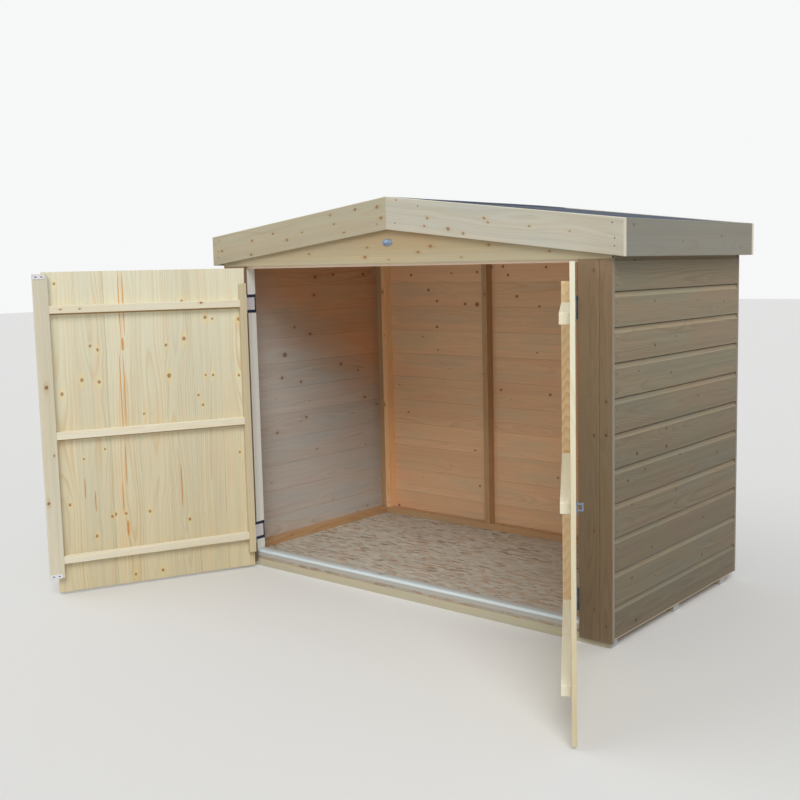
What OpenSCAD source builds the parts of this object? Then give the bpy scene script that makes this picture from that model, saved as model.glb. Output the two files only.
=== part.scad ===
// Timber bike shelter: a low apex-roofed store with shiplap walls and a pair of ledged doors
// X runs to the right, Y to the back and Z up; the origin lies on the ground under the middle of the body

/* [Body] */
// Width over the side cladding
body_w = 1900; // [1500:10:2400]
// Depth from the front face to the back face
body_d = 1008; // [800:4:1400]
// Height of the lowest cladding edge above the ground
cladding_foot = 32; // [20:1:60]
// Height of the lower edge of the front boards and trims above the ground
front_foot = 20; // [5:1:30]

/* [Floor] */
// Width of a floor bearer
bearer_w = 44; // [34:1:75]
// Height of a floor bearer
bearer_h = 33; // [28:1:50]
// Thickness of the floor panel
floor_t = 11; // [9:1:18]
// Distance of the rear bearer behind the middle of the body
rear_bearer_y = 410; // [300:5:440]

/* [Framing] */
// Narrow side of a framing batten
batten_a = 28; // [22:1:45]
// Wide side of a framing batten
batten_b = 44; // [34:1:70]
// Height of the ridge beam
ridge_h = 58; // [44:1:90]
// Height of the back wall's cross rail
back_rail_z = 1370; // [1200:5:1600]
// Distance of the two inner back studs from the middle
back_stud_x = 256; // [150:2:500]

/* [Cladding] */
// Thickness of the wall boards
board_t = 14; // [11:1:20]
// Visible height of one shiplap course
course_h = 116.7; // [90:0.1:145]
// Height of the scooped shoulder of a course
scoop_h = 20; // [6:1:30]
// Depth of the scooped shoulder
scoop_d = 6; // [3:0.5:8]
// Size of the fine joint line on the inner face
joint_line = 1.5; // [0.5:0.5:3]

/* [Front] */
// Width of the boards between the door opening and a corner trim
front_board_w = 80; // [50:1:160]
// Height of the underside of the lintel
lintel_z = 1294; // [1100:1:1800]
// Height of the underside of the front gable board
gable_z = 1304; // [1118:1:1830]
// Width of a corner trim
trim_w = 50; // [30:1:80]

/* [Roof] */
// Reach of the roof beyond a side wall
overhang_side = 50; // [25:1:120]
// Height of the eaves, at the underside of the fascia
eaves_z = 1310; // [1130:1:1900]
// Height of the fascias and bargeboards
barge_h = 122; // [90:1:150]
// Rise from the eaves to the ridge
roof_rise = 120; // [60:1:300]
// Thickness of the fascias and bargeboards
barge_t = 16; // [12:1:22]
// Reach of the roof panels beyond the front face
overhang_front = 0; // [0:1:100]
// Reach of the roof panels beyond the back face
overhang_back = 0; // [0:1:100]
// Thickness of a roof panel
roof_t = 11; // [8:1:18]
// Thickness of the felt
felt_t = 2.5; // [1.5:0.5:4]
// Drop of the felt below the top edge of the bargeboards
felt_drop = 2; // [0:0.5:6]
// Width of the felt cap on each side of the ridge
ridge_cap_w = 150; // [80:5:250]

/* [Doors] */
// Angle by which the left door stands open
left_open = 115; // [0:0.5:180]
// Angle by which the right door stands open
right_open = 121.5; // [0:0.1:180]
// Height of the lower edge of the doors
door_foot = 12; // [8:1:40]
// Height of the upper edge of the doors
door_head = 1297; // [1100:1:1810]
// Gap between the two closed doors
meeting_gap = 6; // [4:0.5:10]
// Number of boards in a door
door_boards = 7; // [5:1:10]
// Heights of the upper faces of the three ledges
ledge_tops = [165, 666, 1165]; // [60:1:1250]
// Height of a ledge
ledge_h = 30; // [24:1:60]
// Depth of ledges, battens and the closing stile
ledge_t = 28; // [18:1:35]
// Height of the top of the hinge batten
batten_head = 1234; // [1000:1:1270]
// Width of the closing stile
stile_w = 56; // [50:1:80]
// Reach of the closing stile beyond the boards of the left door
stile_over = 36; // [20:1:40]
// Gap between the closing stile and the right door's ledges when both doors are closed
ledge_clear = 8; // [6:1:60]
// Radius of the rounded corner at the head of a hinge batten
batten_round = 11; // [2:0.5:12]

/* [Fittings] */
// Length of a zinc plate on the closing stile
plate_w = 48; // [36:1:56]
// Height of a zinc plate on the closing stile
plate_h = 17; // [12:0.5:25]
// Thickness of a zinc plate on the closing stile
plate_t = 2; // [1:0.5:3]
// Distance of a zinc plate from the stile's end
plate_inset = 2; // [2:0.5:12]
// Width of a screw slot in a zinc plate
plate_slot_w = 4; // [3:0.5:5]
// Height of the middle of the staple
staple_z = 658; // [300:1:1000]
// Distance of the middle of the staple from the door's free edge
staple_inset = 27; // [22:1:60]
// Side of the staple's square plate
staple_plate_w = 34; // [24:1:50]
// Thickness of the staple's plate
staple_plate_t = 2; // [1:0.5:3]
// Height of the staple's loop
staple_loop_h = 22; // [14:1:30]
// Reach of the staple's loop beyond the boards
staple_reach = 20; // [12:1:30]
// Thickness of the staple's loop
staple_loop_t = 5; // [3:0.5:8]

/* [Hinges] */
// Height of a butt hinge
hinge_h = 78; // [50:1:110]
// Heights of the middles of the two hinges
hinge_mids = [155, 1146]; // [120:1:1200]
// Reach of the post's hinge plate behind the pin's axis
post_plate_w = 64; // [30:1:66]
// Reach of the door's hinge plate behind the pin's axis
leaf_plate_w = 44; // [25:1:46]
// Thickness of a hinge plate
hinge_plate_t = 1.5; // [1:0.5:3]
// Radius of a hinge knuckle
knuckle_r = 4; // [3:0.5:7]
// Radius of a hinge pin
pin_r = 2; // [1.5:0.25:4]

/* [Clearances] */
// Clearance from the pin to the bore of the swinging knuckle
pin_clear = 0.3; // [0.1:0.05:0.5]
// Axial clearance between two knuckles
knuckle_clear = 0.5; // [0.3:0.1:1]
// Gap between a closed door and the frame behind it
door_clear = 5; // [4:0.5:8]
// Gap from the hinge side of a door to the reveal, halved by the pin's axis
reveal_gap = 8; // [6:0.5:12]
// Gap from the doors' framing to the sill and the lintel
framing_clear = 5.5; // [5:0.5:12]

/* [Hidden] */
half_w = body_w / 2;
half_d = body_d / 2;
inner_x = half_w - board_t;
inner_y = half_d - board_t;
frame_x = inner_x - batten_b;
frame_y = inner_y - batten_b;
floor_z = bearer_h + floor_t;
rail_top = floor_z + batten_a;
half_roof = half_w + overhang_side;
roof_front = -half_d - overhang_front - barge_t;
roof_back = half_d + overhang_back + barge_t;
eaves_top = eaves_z + barge_h;
slope = roof_rise / half_roof;
felt_low = felt_drop + felt_t;
panel_low = felt_low + roof_t;
half_open = half_w - trim_w - front_board_w;
half_gap = reveal_gap / 2;
pivot_x = half_open - half_gap;
pivot_off = half_gap;
pivot_y = -inner_y - door_clear - board_t - pivot_off;
leaf_x0 = half_gap;
leaf_x1 = pivot_x - meeting_gap / 2;
stile_x1 = leaf_x1 + stile_over;
stile_x0 = stile_x1 - stile_w;
leaf_y0 = pivot_off;
leaf_y1 = pivot_off + board_t;
leaf_y2 = leaf_y1 + ledge_t;
framing_foot = rail_top + framing_clear;
framing_head = lintel_z - framing_clear;
facet = 24;
cladding_c = [0.86, 0.78, 0.62];
trim_c = [0.80, 0.71, 0.54];
barge_c = [0.90, 0.82, 0.66];
inner_c = [0.80, 0.66, 0.46];
board_c = [0.88, 0.82, 0.66];
panel_c = [0.72, 0.58, 0.42];
felt_c = [0.24, 0.28, 0.34];
zinc_c = [0.72, 0.75, 0.78];

// Height of the roof's top line at a distance from the ridge
function roof_z(x) = eaves_top + roof_rise - slope * abs(x);

// Outline of a roof slice between two distances from the ridge, given as depths under the top line
function slice(x0, x1, top, low) = [[x0, roof_z(x0) - top], [x1, roof_z(x1) - top],
    [x1, roof_z(x1) - low], [x0, roof_z(x0) - low]];

// Outer line of one shiplap course: a square lower edge, a flat face and a scooped shoulder
function course_line(z) = concat(
    [[board_t - scoop_d, z], [board_t - 1, z], [board_t, z + 1]],
    [for (i = [0 : 5]) let (t = i / 6) [board_t - scoop_d * (1 - pow(1 - t, 2)), z + course_h - scoop_h * (1 - t)]]);

// Number of courses that reach up to a height
function courses(z) = ceil((z - cladding_foot) / course_h);

// Profile of a shiplap wall: the courses outside, fine joint lines inside
function shiplap(n) = concat(
    [for (i = [0 : n - 1]) each course_line(cladding_foot + i * course_h)],
    [[board_t - scoop_d, cladding_foot + n * course_h], [0, cladding_foot + n * course_h]],
    [for (i = [n - 1 : -1 : 1]) let (z = cladding_foot + i * course_h)
        each [[0, z + joint_line], [joint_line, z], [0, z - joint_line]]],
    [[0, cladding_foot]]);

// A box between two corners
module block(a, b) {
    translate(a)
        cube(b - a);
}

// An outline in X and Z, carried along Y from y0 to y1
module along_y(y0, y1) {
    translate([0, y1, 0])
        rotate([90, 0, 0])
            linear_extrude(y1 - y0)
                children();
}

module both_sides() {
    children();
    mirror([1, 0, 0])
        children();
}

// The body's room under the roof panels, used to cut walls and frames to the slope
module under_roof(y0, y1, z0) {
    along_y(y0, y1)
        polygon([[-half_roof, z0], [half_roof, z0], [half_roof, roof_z(half_roof) - panel_low],
            [0, roof_z(0) - panel_low], [-half_roof, roof_z(half_roof) - panel_low]]);
}

// Carries a leaf from its closed place at the pin's axis to its open place
module left_leaf() {
    translate([-pivot_x, pivot_y, 0])
        rotate([0, 0, -left_open])
            children();
}

module right_leaf() {
    translate([pivot_x, pivot_y, 0])
        rotate([0, 0, right_open])
            mirror([1, 0, 0])
                children();
}

module floor_bearers() {
    color(trim_c)
        for (y = [-inner_y + bearer_w / 2, 0, rear_bearer_y])
            block([-inner_x, y - bearer_w / 2, 0], [inner_x, y + bearer_w / 2, bearer_h]);
}

module floor_panel() {
    color(panel_c)
        block([-inner_x, -inner_y, bearer_h], [inner_x, inner_y, floor_z]);
}

module front_sill() {
    color(board_c)
        block([-frame_x, -inner_y, floor_z], [frame_x, -frame_y, rail_top]);
}

module front_posts() {
    color(board_c)
        both_sides()
            block([half_open, -inner_y, rail_top], [half_open + batten_a, -frame_y, lintel_z]);
}

module front_lintel() {
    color(inner_c)
        block([-frame_x, -inner_y, lintel_z], [frame_x, -frame_y, lintel_z + batten_a]);
}

module front_boards() {
    color(trim_c)
        both_sides()
            block([half_open, -half_d, front_foot], [half_w - trim_w, -inner_y, gable_z]);
}

module front_trims() {
    color(trim_c)
        both_sides()
            block([half_w - trim_w, -half_d, front_foot], [half_w, -inner_y, gable_z]);
}

module gable_board_front() {
    color(barge_c)
        intersection() {
            block([-half_w, -half_d, gable_z], [half_w, -inner_y, roof_z(0)]);
            under_roof(-half_d - 1, -inner_y + 1, gable_z - 1);
        }
}

// Two rafters under the roof panels and a short post under the ridge
module gable_frame(y0, z0) {
    for (s = [-1, 1])
        along_y(y0, y0 + batten_b)
            polygon([[s * batten_a / 2, roof_z(0) - panel_low - slope * batten_a / 2],
                [s * frame_x, roof_z(frame_x) - panel_low],
                [s * frame_x, roof_z(frame_x) - panel_low - batten_a],
                [s * batten_a / 2, roof_z(0) - panel_low - slope * batten_a / 2 - batten_a]]);
    block([-batten_a / 2, y0, z0], [batten_a / 2, y0 + batten_b, roof_z(0) - panel_low - ridge_h]);
}

module gable_frame_front() {
    color(inner_c)
        gable_frame(-inner_y, lintel_z + batten_a);
}

module side_cladding(side) {
    intersection() {
        translate([side * inner_x, inner_y, 0])
            rotate([90, 0, 0])
                linear_extrude(2 * inner_y)
                    polygon([for (q = shiplap(courses(roof_z(inner_x) - panel_low))) [side * q[0], q[1]]]);
        under_roof(-half_d, half_d, 0);
    }
}

module cladding_left() {
    color(cladding_c)
        side_cladding(-1);
}

module cladding_right() {
    color(cladding_c)
        side_cladding(1);
}

module cladding_back() {
    color(cladding_c)
        intersection() {
            translate([-half_w + trim_w, inner_y, 0])
                rotate([90, 0, 90])
                    linear_extrude(body_w - 2 * trim_w)
                        polygon(shiplap(courses(roof_z(0) - panel_low)));
            under_roof(inner_y - 1, half_d + 1, 0);
        }
}

module rear_trims() {
    color(trim_c)
        both_sides()
            intersection() {
                block([half_w - trim_w, inner_y, cladding_foot], [half_w, half_d, eaves_top]);
                under_roof(inner_y - 1, half_d + 1, 0);
            }
}

// The front and the rear stud of a side wall, each standing on the floor rail
module side_studs(side) {
    for (y = [-inner_y, inner_y - batten_a])
        along_y(y, y + batten_a)
            polygon([for (q = [[frame_x, rail_top], [inner_x, rail_top],
                [inner_x, roof_z(inner_x) - panel_low - batten_a],
                [frame_x, roof_z(frame_x) - panel_low - batten_a]]) [side * q[0], q[1]]]);
}

module side_rails(side) {
    along_y(-inner_y, inner_y)
        polygon([for (q = slice(frame_x, inner_x, panel_low, panel_low + batten_a)) [side * q[0], q[1]]]);
    along_y(-inner_y, inner_y)
        polygon([for (q = [[frame_x, floor_z], [inner_x, floor_z], [inner_x, rail_top], [frame_x, rail_top]])
            [side * q[0], q[1]]]);
}

module studs_left() {
    color(inner_c)
        side_studs(-1);
}

module rails_left() {
    color(inner_c)
        side_rails(-1);
}

module studs_right() {
    color(inner_c)
        side_studs(1);
}

module rails_right() {
    color(inner_c)
        side_rails(1);
}

module studs_back() {
    color(inner_c)
        for (x = [-frame_x + batten_a / 2, -back_stud_x, back_stud_x, frame_x - batten_a / 2])
            block([x - batten_a / 2, frame_y, rail_top], [x + batten_a / 2, inner_y, back_rail_z]);
}

module rails_back() {
    color(inner_c) {
        block([-frame_x, frame_y, floor_z], [frame_x, inner_y, rail_top]);
        block([-frame_x, frame_y, back_rail_z], [frame_x, inner_y, back_rail_z + batten_a]);
    }
}

module gable_frame_back() {
    color(inner_c)
        gable_frame(frame_y, back_rail_z + batten_a);
}

module ridge_beam() {
    color(inner_c)
        along_y(-inner_y, inner_y)
            polygon([[-batten_a / 2, roof_z(0) - panel_low - ridge_h], [batten_a / 2, roof_z(0) - panel_low - ridge_h],
                [batten_a / 2, roof_z(batten_a / 2) - panel_low], [0, roof_z(0) - panel_low],
                [-batten_a / 2, roof_z(batten_a / 2) - panel_low]]);
}

// A roof layer on one side of the ridge, between two depths under the top line
module roof_layer(side, top, low) {
    along_y(roof_front + barge_t, roof_back - barge_t)
        polygon([for (q = slice(0, half_roof - barge_t, top, low)) [side * q[0], q[1]]]);
}

module roof_panel_left() {
    color(panel_c)
        roof_layer(-1, felt_low, panel_low);
}

module roof_panel_right() {
    color(panel_c)
        roof_layer(1, felt_low, panel_low);
}

module felt_left() {
    color(felt_c)
        roof_layer(-1, felt_drop, felt_low);
}

module felt_right() {
    color(felt_c)
        roof_layer(1, felt_drop, felt_low);
}

module felt_ridge() {
    color(felt_c)
        along_y(roof_front + barge_t, roof_back - barge_t)
            polygon([[-ridge_cap_w, roof_z(ridge_cap_w)], [0, roof_z(0)], [ridge_cap_w, roof_z(ridge_cap_w)],
                [ridge_cap_w, roof_z(ridge_cap_w) - felt_drop], [0, roof_z(0) - felt_drop],
                [-ridge_cap_w, roof_z(ridge_cap_w) - felt_drop]]);
}

module bargeboard(side, y) {
    along_y(y, y + barge_t)
        polygon([for (q = slice(0, half_roof, 0, barge_h)) [side * q[0], q[1]]]);
}

module bargeboard_front_left() {
    color(barge_c)
        bargeboard(-1, roof_front);
}

module bargeboard_front_right() {
    color(barge_c)
        bargeboard(1, roof_front);
}

module bargeboard_back_left() {
    color(barge_c)
        bargeboard(-1, roof_back - barge_t);
}

module bargeboard_back_right() {
    color(barge_c)
        bargeboard(1, roof_back - barge_t);
}

module fascia(side) {
    along_y(roof_front + barge_t, roof_back - barge_t)
        polygon([[side * (half_roof - barge_t), roof_z(half_roof - barge_t)], [side * half_roof, eaves_top],
            [side * half_roof, eaves_z], [side * (half_roof - barge_t), eaves_z]]);
}

module fascia_left() {
    color(barge_c)
        fascia(-1);
}

module fascia_right() {
    color(barge_c)
        fascia(1);
}

// One half of a butt hinge around the pin's axis, its plate reaching to +Y on the +X side of the axis
module hinge_half(z0, z1, plate_low, plate_high, reach) {
    difference() {
        union() {
            for (i = [0 : len(z0) - 1]) {
                translate([0, 0, z0[i]])
                    cylinder(h = z1[i] - z0[i], r = knuckle_r, $fn = facet * 2);
                block([knuckle_r - hinge_plate_t, 0, z0[i]], [knuckle_r, knuckle_r + 3, z1[i]]);
            }
            block([knuckle_r - hinge_plate_t, knuckle_r + knuckle_clear * 3, plate_low],
                [knuckle_r, reach, plate_high]);
        }
        children();
    }
}

// The post's half: two outer knuckles that hold the pin
module post_half(mid) {
    low = mid - hinge_h / 2;
    high = mid + hinge_h / 2;
    third = hinge_h / 3;
    mirror([1, 0, 0])
        hinge_half([low, high - third + knuckle_clear / 2], [low + third - knuckle_clear / 2, high], low, high,
            post_plate_w);
    translate([0, 0, low])
        cylinder(h = hinge_h, r = pin_r, $fn = facet * 2);
}

// The door's half: one middle knuckle that turns on the pin
module leaf_half(mid) {
    low = mid - hinge_h / 2;
    high = mid + hinge_h / 2;
    third = hinge_h / 3;
    hinge_half([low + third + knuckle_clear / 2], [high - third - knuckle_clear / 2], low, high, leaf_plate_w)
        translate([0, 0, low])
            cylinder(h = hinge_h, r = pin_r + pin_clear, $fn = facet * 2);
}

module hinge_plates_left() {
    color(zinc_c)
        translate([-pivot_x, pivot_y, 0])
            for (mid = hinge_mids)
                post_half(mid);
}

module hinge_plates_right() {
    color(zinc_c)
        translate([pivot_x, pivot_y, 0])
            mirror([1, 0, 0])
                for (mid = hinge_mids)
                    post_half(mid);
}

// The boards of a door, with a fine vee at each joint on both faces
module leaf_boards() {
    step = (leaf_x1 - leaf_x0) / door_boards;
    translate([0, 0, door_foot])
        linear_extrude(door_head - door_foot)
            polygon(concat([[leaf_x0, leaf_y0]],
                [for (i = [1 : door_boards - 1]) let (x = leaf_x0 + i * step)
                    each [[x - joint_line, leaf_y0], [x, leaf_y0 + joint_line], [x + joint_line, leaf_y0]]],
                [[leaf_x1, leaf_y0], [leaf_x1, leaf_y1]],
                [for (i = [door_boards - 1 : -1 : 1]) let (x = leaf_x0 + i * step)
                    each [[x + joint_line, leaf_y1], [x, leaf_y1 - joint_line], [x - joint_line, leaf_y1]]],
                [[leaf_x0, leaf_y1]]));
}

module leaf_ledges(x1) {
    for (z = ledge_tops)
        block([leaf_x0 + batten_a, leaf_y1, z - ledge_h], [x1, leaf_y2, z]);
}

// The hinge batten, its upper corner towards the ledges rounded off
module leaf_batten() {
    x1 = leaf_x0 + batten_a;
    translate([0, leaf_y2, 0])
        rotate([90, 0, 0])
            linear_extrude(ledge_t)
                polygon(concat([[leaf_x0, framing_foot], [x1, framing_foot]],
                    [for (a = [0 : 15 : 90]) [x1 - batten_round * (1 - cos(a)),
                        batten_head - batten_round * (1 - sin(a))]],
                    [[leaf_x0, batten_head]]));
}

module door_left_boards() {
    color(board_c)
        left_leaf()
            leaf_boards();
}

module door_left_ledges() {
    color(board_c)
        left_leaf()
            leaf_ledges(stile_x0);
}

module door_left_batten() {
    color(inner_c)
        left_leaf()
            leaf_batten();
}

// The closing stile: one part of it backs the left door, the rebated part stands behind the closed right door
module door_left_stile() {
    color(board_c)
        left_leaf()
            translate([0, 0, framing_foot])
                linear_extrude(framing_head - framing_foot)
                    polygon([[stile_x0, leaf_y1], [leaf_x1, leaf_y1], [leaf_x1, leaf_y1 + door_clear],
                        [stile_x1, leaf_y1 + door_clear], [stile_x1, leaf_y2], [stile_x0, leaf_y2]]);
}

module door_left_hinges() {
    color(zinc_c)
        left_leaf()
            for (mid = hinge_mids)
                leaf_half(mid);
}

// A flat zinc plate that ends in a half circle, with two screw slots
module stile_plate(z) {
    x1 = stile_x1;
    difference() {
        union() {
            block([x1 - plate_w + plate_h / 2, leaf_y2, z], [x1, leaf_y2 + plate_t, z + plate_h]);
            translate([x1 - plate_w + plate_h / 2, leaf_y2 + plate_t, z + plate_h / 2])
                rotate([90, 0, 0])
                    cylinder(h = plate_t, r = plate_h / 2, $fn = facet * 2);
        }
        for (x = [x1 - plate_w * 0.72, x1 - plate_w * 0.28])
            block([x - plate_slot_w, leaf_y2 - 1, z + (plate_h - plate_slot_w) / 2],
                [x + plate_slot_w, leaf_y2 + plate_t + 1, z + (plate_h + plate_slot_w) / 2]);
    }
}

// Two zinc plates across the head and the foot of the stile
module door_left_plates() {
    color(zinc_c)
        left_leaf()
            for (z = [framing_foot + plate_inset, framing_head - plate_inset - plate_h])
                stile_plate(z);
}

module door_right_boards() {
    color(board_c)
        right_leaf()
            leaf_boards();
}

module door_right_ledges() {
    color(board_c)
        right_leaf()
            leaf_ledges(leaf_x1 + meeting_gap - stile_over - ledge_clear);
}

module door_right_batten() {
    color(inner_c)
        right_leaf()
            leaf_batten();
}

module door_right_hinges() {
    color(zinc_c)
        right_leaf()
            for (mid = hinge_mids)
                leaf_half(mid);
}

// A box on the outer face, centred on the staple, between two depths before that face
module staple_block(w, h, from, to) {
    x = leaf_x1 - staple_inset;
    block([x - w / 2, leaf_y0 - to, staple_z - h / 2], [x + w / 2, leaf_y0 - from, staple_z + h / 2]);
}

// A small staple on the outer face near the free edge
module door_right_staple() {
    color(zinc_c)
        right_leaf()
            difference() {
                union() {
                    staple_block(staple_plate_w, staple_plate_w, 0, staple_plate_t);
                    staple_block(staple_loop_t, staple_loop_h, staple_plate_t / 2, staple_reach);
                }
                staple_block(staple_loop_t * 3, staple_loop_h - 2 * staple_loop_t, staple_plate_t * 2,
                    staple_reach - staple_loop_t);
            }
}

floor_bearers();
floor_panel();
front_sill();
front_posts();
front_lintel();
front_boards();
front_trims();
gable_board_front();
gable_frame_front();
cladding_left();
cladding_right();
cladding_back();
rear_trims();
studs_left();
rails_left();
studs_right();
rails_right();
studs_back();
rails_back();
gable_frame_back();
ridge_beam();
roof_panel_left();
roof_panel_right();
felt_left();
felt_right();
felt_ridge();
bargeboard_front_left();
bargeboard_front_right();
bargeboard_back_left();
bargeboard_back_right();
fascia_left();
fascia_right();
hinge_plates_left();
hinge_plates_right();
door_left_boards();
door_left_ledges();
door_left_batten();
door_left_stile();
door_left_hinges();
door_left_plates();
door_right_boards();
door_right_ledges();
door_right_batten();
door_right_hinges();
door_right_staple();
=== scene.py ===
import math
from functools import partial
import bpy
import numpy as np
from mathutils import Matrix


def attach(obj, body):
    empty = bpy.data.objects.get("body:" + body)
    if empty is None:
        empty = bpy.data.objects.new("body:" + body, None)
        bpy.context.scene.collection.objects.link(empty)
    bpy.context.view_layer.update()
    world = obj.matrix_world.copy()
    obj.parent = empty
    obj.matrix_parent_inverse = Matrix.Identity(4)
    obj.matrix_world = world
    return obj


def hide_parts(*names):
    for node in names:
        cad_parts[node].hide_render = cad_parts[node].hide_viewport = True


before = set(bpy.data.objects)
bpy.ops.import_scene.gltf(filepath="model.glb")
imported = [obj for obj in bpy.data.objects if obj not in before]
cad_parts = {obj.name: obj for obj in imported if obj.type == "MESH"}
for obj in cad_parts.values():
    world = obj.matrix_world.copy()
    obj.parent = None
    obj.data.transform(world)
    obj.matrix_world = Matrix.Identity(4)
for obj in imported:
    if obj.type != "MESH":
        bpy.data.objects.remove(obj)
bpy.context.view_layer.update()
print("frame loaded:", len(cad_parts), "nodes")


# a dictionary whose entries are read by their names
class Kit(dict):
    __getattr__ = dict.__getitem__


# the shed's main lines in metres, as the construction has them
shed = Kit(
    halfWidth=0.950, halfDepth=0.504, board=0.014, foot=0.032, course=0.1167, frameX=0.892, frameY=0.446,
    floorTop=0.044, railTop=0.072, thin=0.028, wide=0.044, ridgeTop=1.552, eavesTop=1.432, halfRoof=1.000,
    panelLow=0.0155, ridgeHigh=0.058, leastReach=0.002, belowPanel=0.0005,
)
innerX = shed.halfWidth - shed.board
innerY = shed.halfDepth - shed.board
roofSlope = (shed.ridgeTop - shed.eavesTop) / shed.halfRoof
underRidge = shed.ridgeTop - shed.panelLow
sides = (("Left", -1), ("Right", 1))
hair = 0.0004
dice = np.random.default_rng(7)


# the roof's height at x: the ridge's height less the slope times the distance from the ridge
def roofLine(x):
    return shed.ridgeTop - roofSlope * np.abs(x)


# the same line at the underside of the roof panels
def roofUnder(x):
    return float(roofLine(x)) - shed.panelLow


# every corner P of a closed outline becomes a short curve from A to B on its two edges, by the
# quadratic rule (1-t)(1-t)A + 2t(1-t)P + t*t*B
def softOutline(points, radius=0.0015, steps=3):
    p = np.asarray(points, float)
    ends = []
    for step in (1, -1):
        edge = np.roll(p, step, axis=0) - p
        length = np.linalg.norm(edge, axis=1, keepdims=True)
        ends.append(p + edge / length * np.minimum(radius, length * 0.4))
    a, b = ends
    t = np.linspace(0.0, 1.0, steps + 1)[None, :, None]
    curve = (1 - t) ** 2 * a[:, None] + 2 * t * (1 - t) * p[:, None] + t ** 2 * b[:, None]
    return curve.reshape(-1, 2)


# a rectangle from (0, 0) to (across, thick) with its corners softened
def softBox(across, thick, radius=0.0015):
    return softOutline([(0, 0), (across, 0), (across, thick), (0, thick)], radius)


# turned round where twice the enclosed area, the sum of x[i]*y[i+1] - x[i+1]*y[i], is negative
def forward(outline):
    x, y = outline.T
    return outline if np.sum(x * np.roll(y, -1) - np.roll(x, -1) * y) > 0 else outline[::-1]


# outward direction of each outline point: the mean of its two edges' directions turned by a quarter
def outlineNormals(outline):
    edge = np.roll(outline, -1, axis=0) - outline
    edge /= np.maximum(np.linalg.norm(edge, axis=1, keepdims=True), 1e-9)
    out = np.stack([edge[:, 1], -edge[:, 0]], axis=1)
    mean = out + np.roll(out, 1, axis=0)
    return mean / np.maximum(np.linalg.norm(mean, axis=1, keepdims=True), 1e-9)


# four-sided faces between neighbouring rings: (i, j), (i, j+1), (i+1, j+1), (i+1, j), with j going round
def ringFaces(rings, points):
    i, j = np.meshgrid(np.arange(rings - 1), np.arange(points), indexing="ij")
    low, high, k = i * points, (i + 1) * points, (j + 1) % points
    return np.stack([low + j, low + k, high + k, high + j], axis=-1).reshape(-1, 4)


# a closed outline (across, thick) carried along a straight board: point (i, j) is outline point j at
# station i, drawn in by that station's inset; the two ends are closed
def carryOutline(outline, stations, insets, limit=None):
    n, m = len(outline), len(stations)
    rings = outline[None] - np.asarray(insets)[:, None, None] * outlineNormals(outline)[None]
    along = np.broadcast_to(np.asarray(stations, float)[:, None], (m, n)).copy()
    if limit is not None:
        along = limit(along, rings[..., 0])
    verts = np.concatenate([along[..., None], rings], axis=2).reshape(-1, 3)
    ends = [list(range(n))[::-1], list(range((m - 1) * n, m * n))]
    return verts, ringFaces(m, n).tolist() + ends


# what each point and each face of a wooden piece carries for its material
pointFields = ("tone", "tinted", "shade", "resin")
faceFields = ("knotA", "knotB", "veinA", "veinB")
noKnot = (-9.0, -9.0, 0.001)
noVein = (-9.0, 0.0, 0.05)
chance = Kit(
    perMetre=2.6, small=0.0024, large=0.0065, apart=0.035, fromEnd=0.02, fromEdge=0.14, cutApart=0.012,
    pithAcross=0.04, pithDeep=(0.018, 0.06), shift=40,
)


# an empty list for everything that the boards of one piece carry
def newStack():
    return {**{field: [] for field in ("verts", "grain", "faces") + pointFields + faceFields}, "count": 0}


# knots by chance: their number follows the length, and small ones are the most common
def chanceKnots(low, high, left, right):
    count = dice.poisson((high - low) * chance.perMetre)
    places = np.sort(dice.uniform(low + chance.fromEnd, high - chance.fromEnd, count))
    places = places[np.concatenate([[True], np.diff(places) > chance.apart])] if count else places
    left, right = left + chance.fromEdge * (right - left), right - chance.fromEdge * (right - left)
    small, more = chance.small, chance.large - chance.small
    return [(place, dice.uniform(left, right), small + more * dice.uniform() ** 2) for place in places]


# for each stretch between two stations: the two marks that the rule picks for its middle
def perStretch(stations, pick, none):
    middles = 0.5 * (np.asarray(stations[1:]) + np.asarray(stations[:-1]))
    return [(pick(middle) + [none, none])[:2] for middle in middles]


# knots and veins are written in millimetres
def inMetres(rows):
    return [tuple(value / 1000 for value in row) for row in rows]


# marks the points within a hair of the given values on one axis of the board
def near(axis, *values):
    return lambda v: np.any([np.abs(v[:, axis] - value) < hair for value in values], axis=0)


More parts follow.
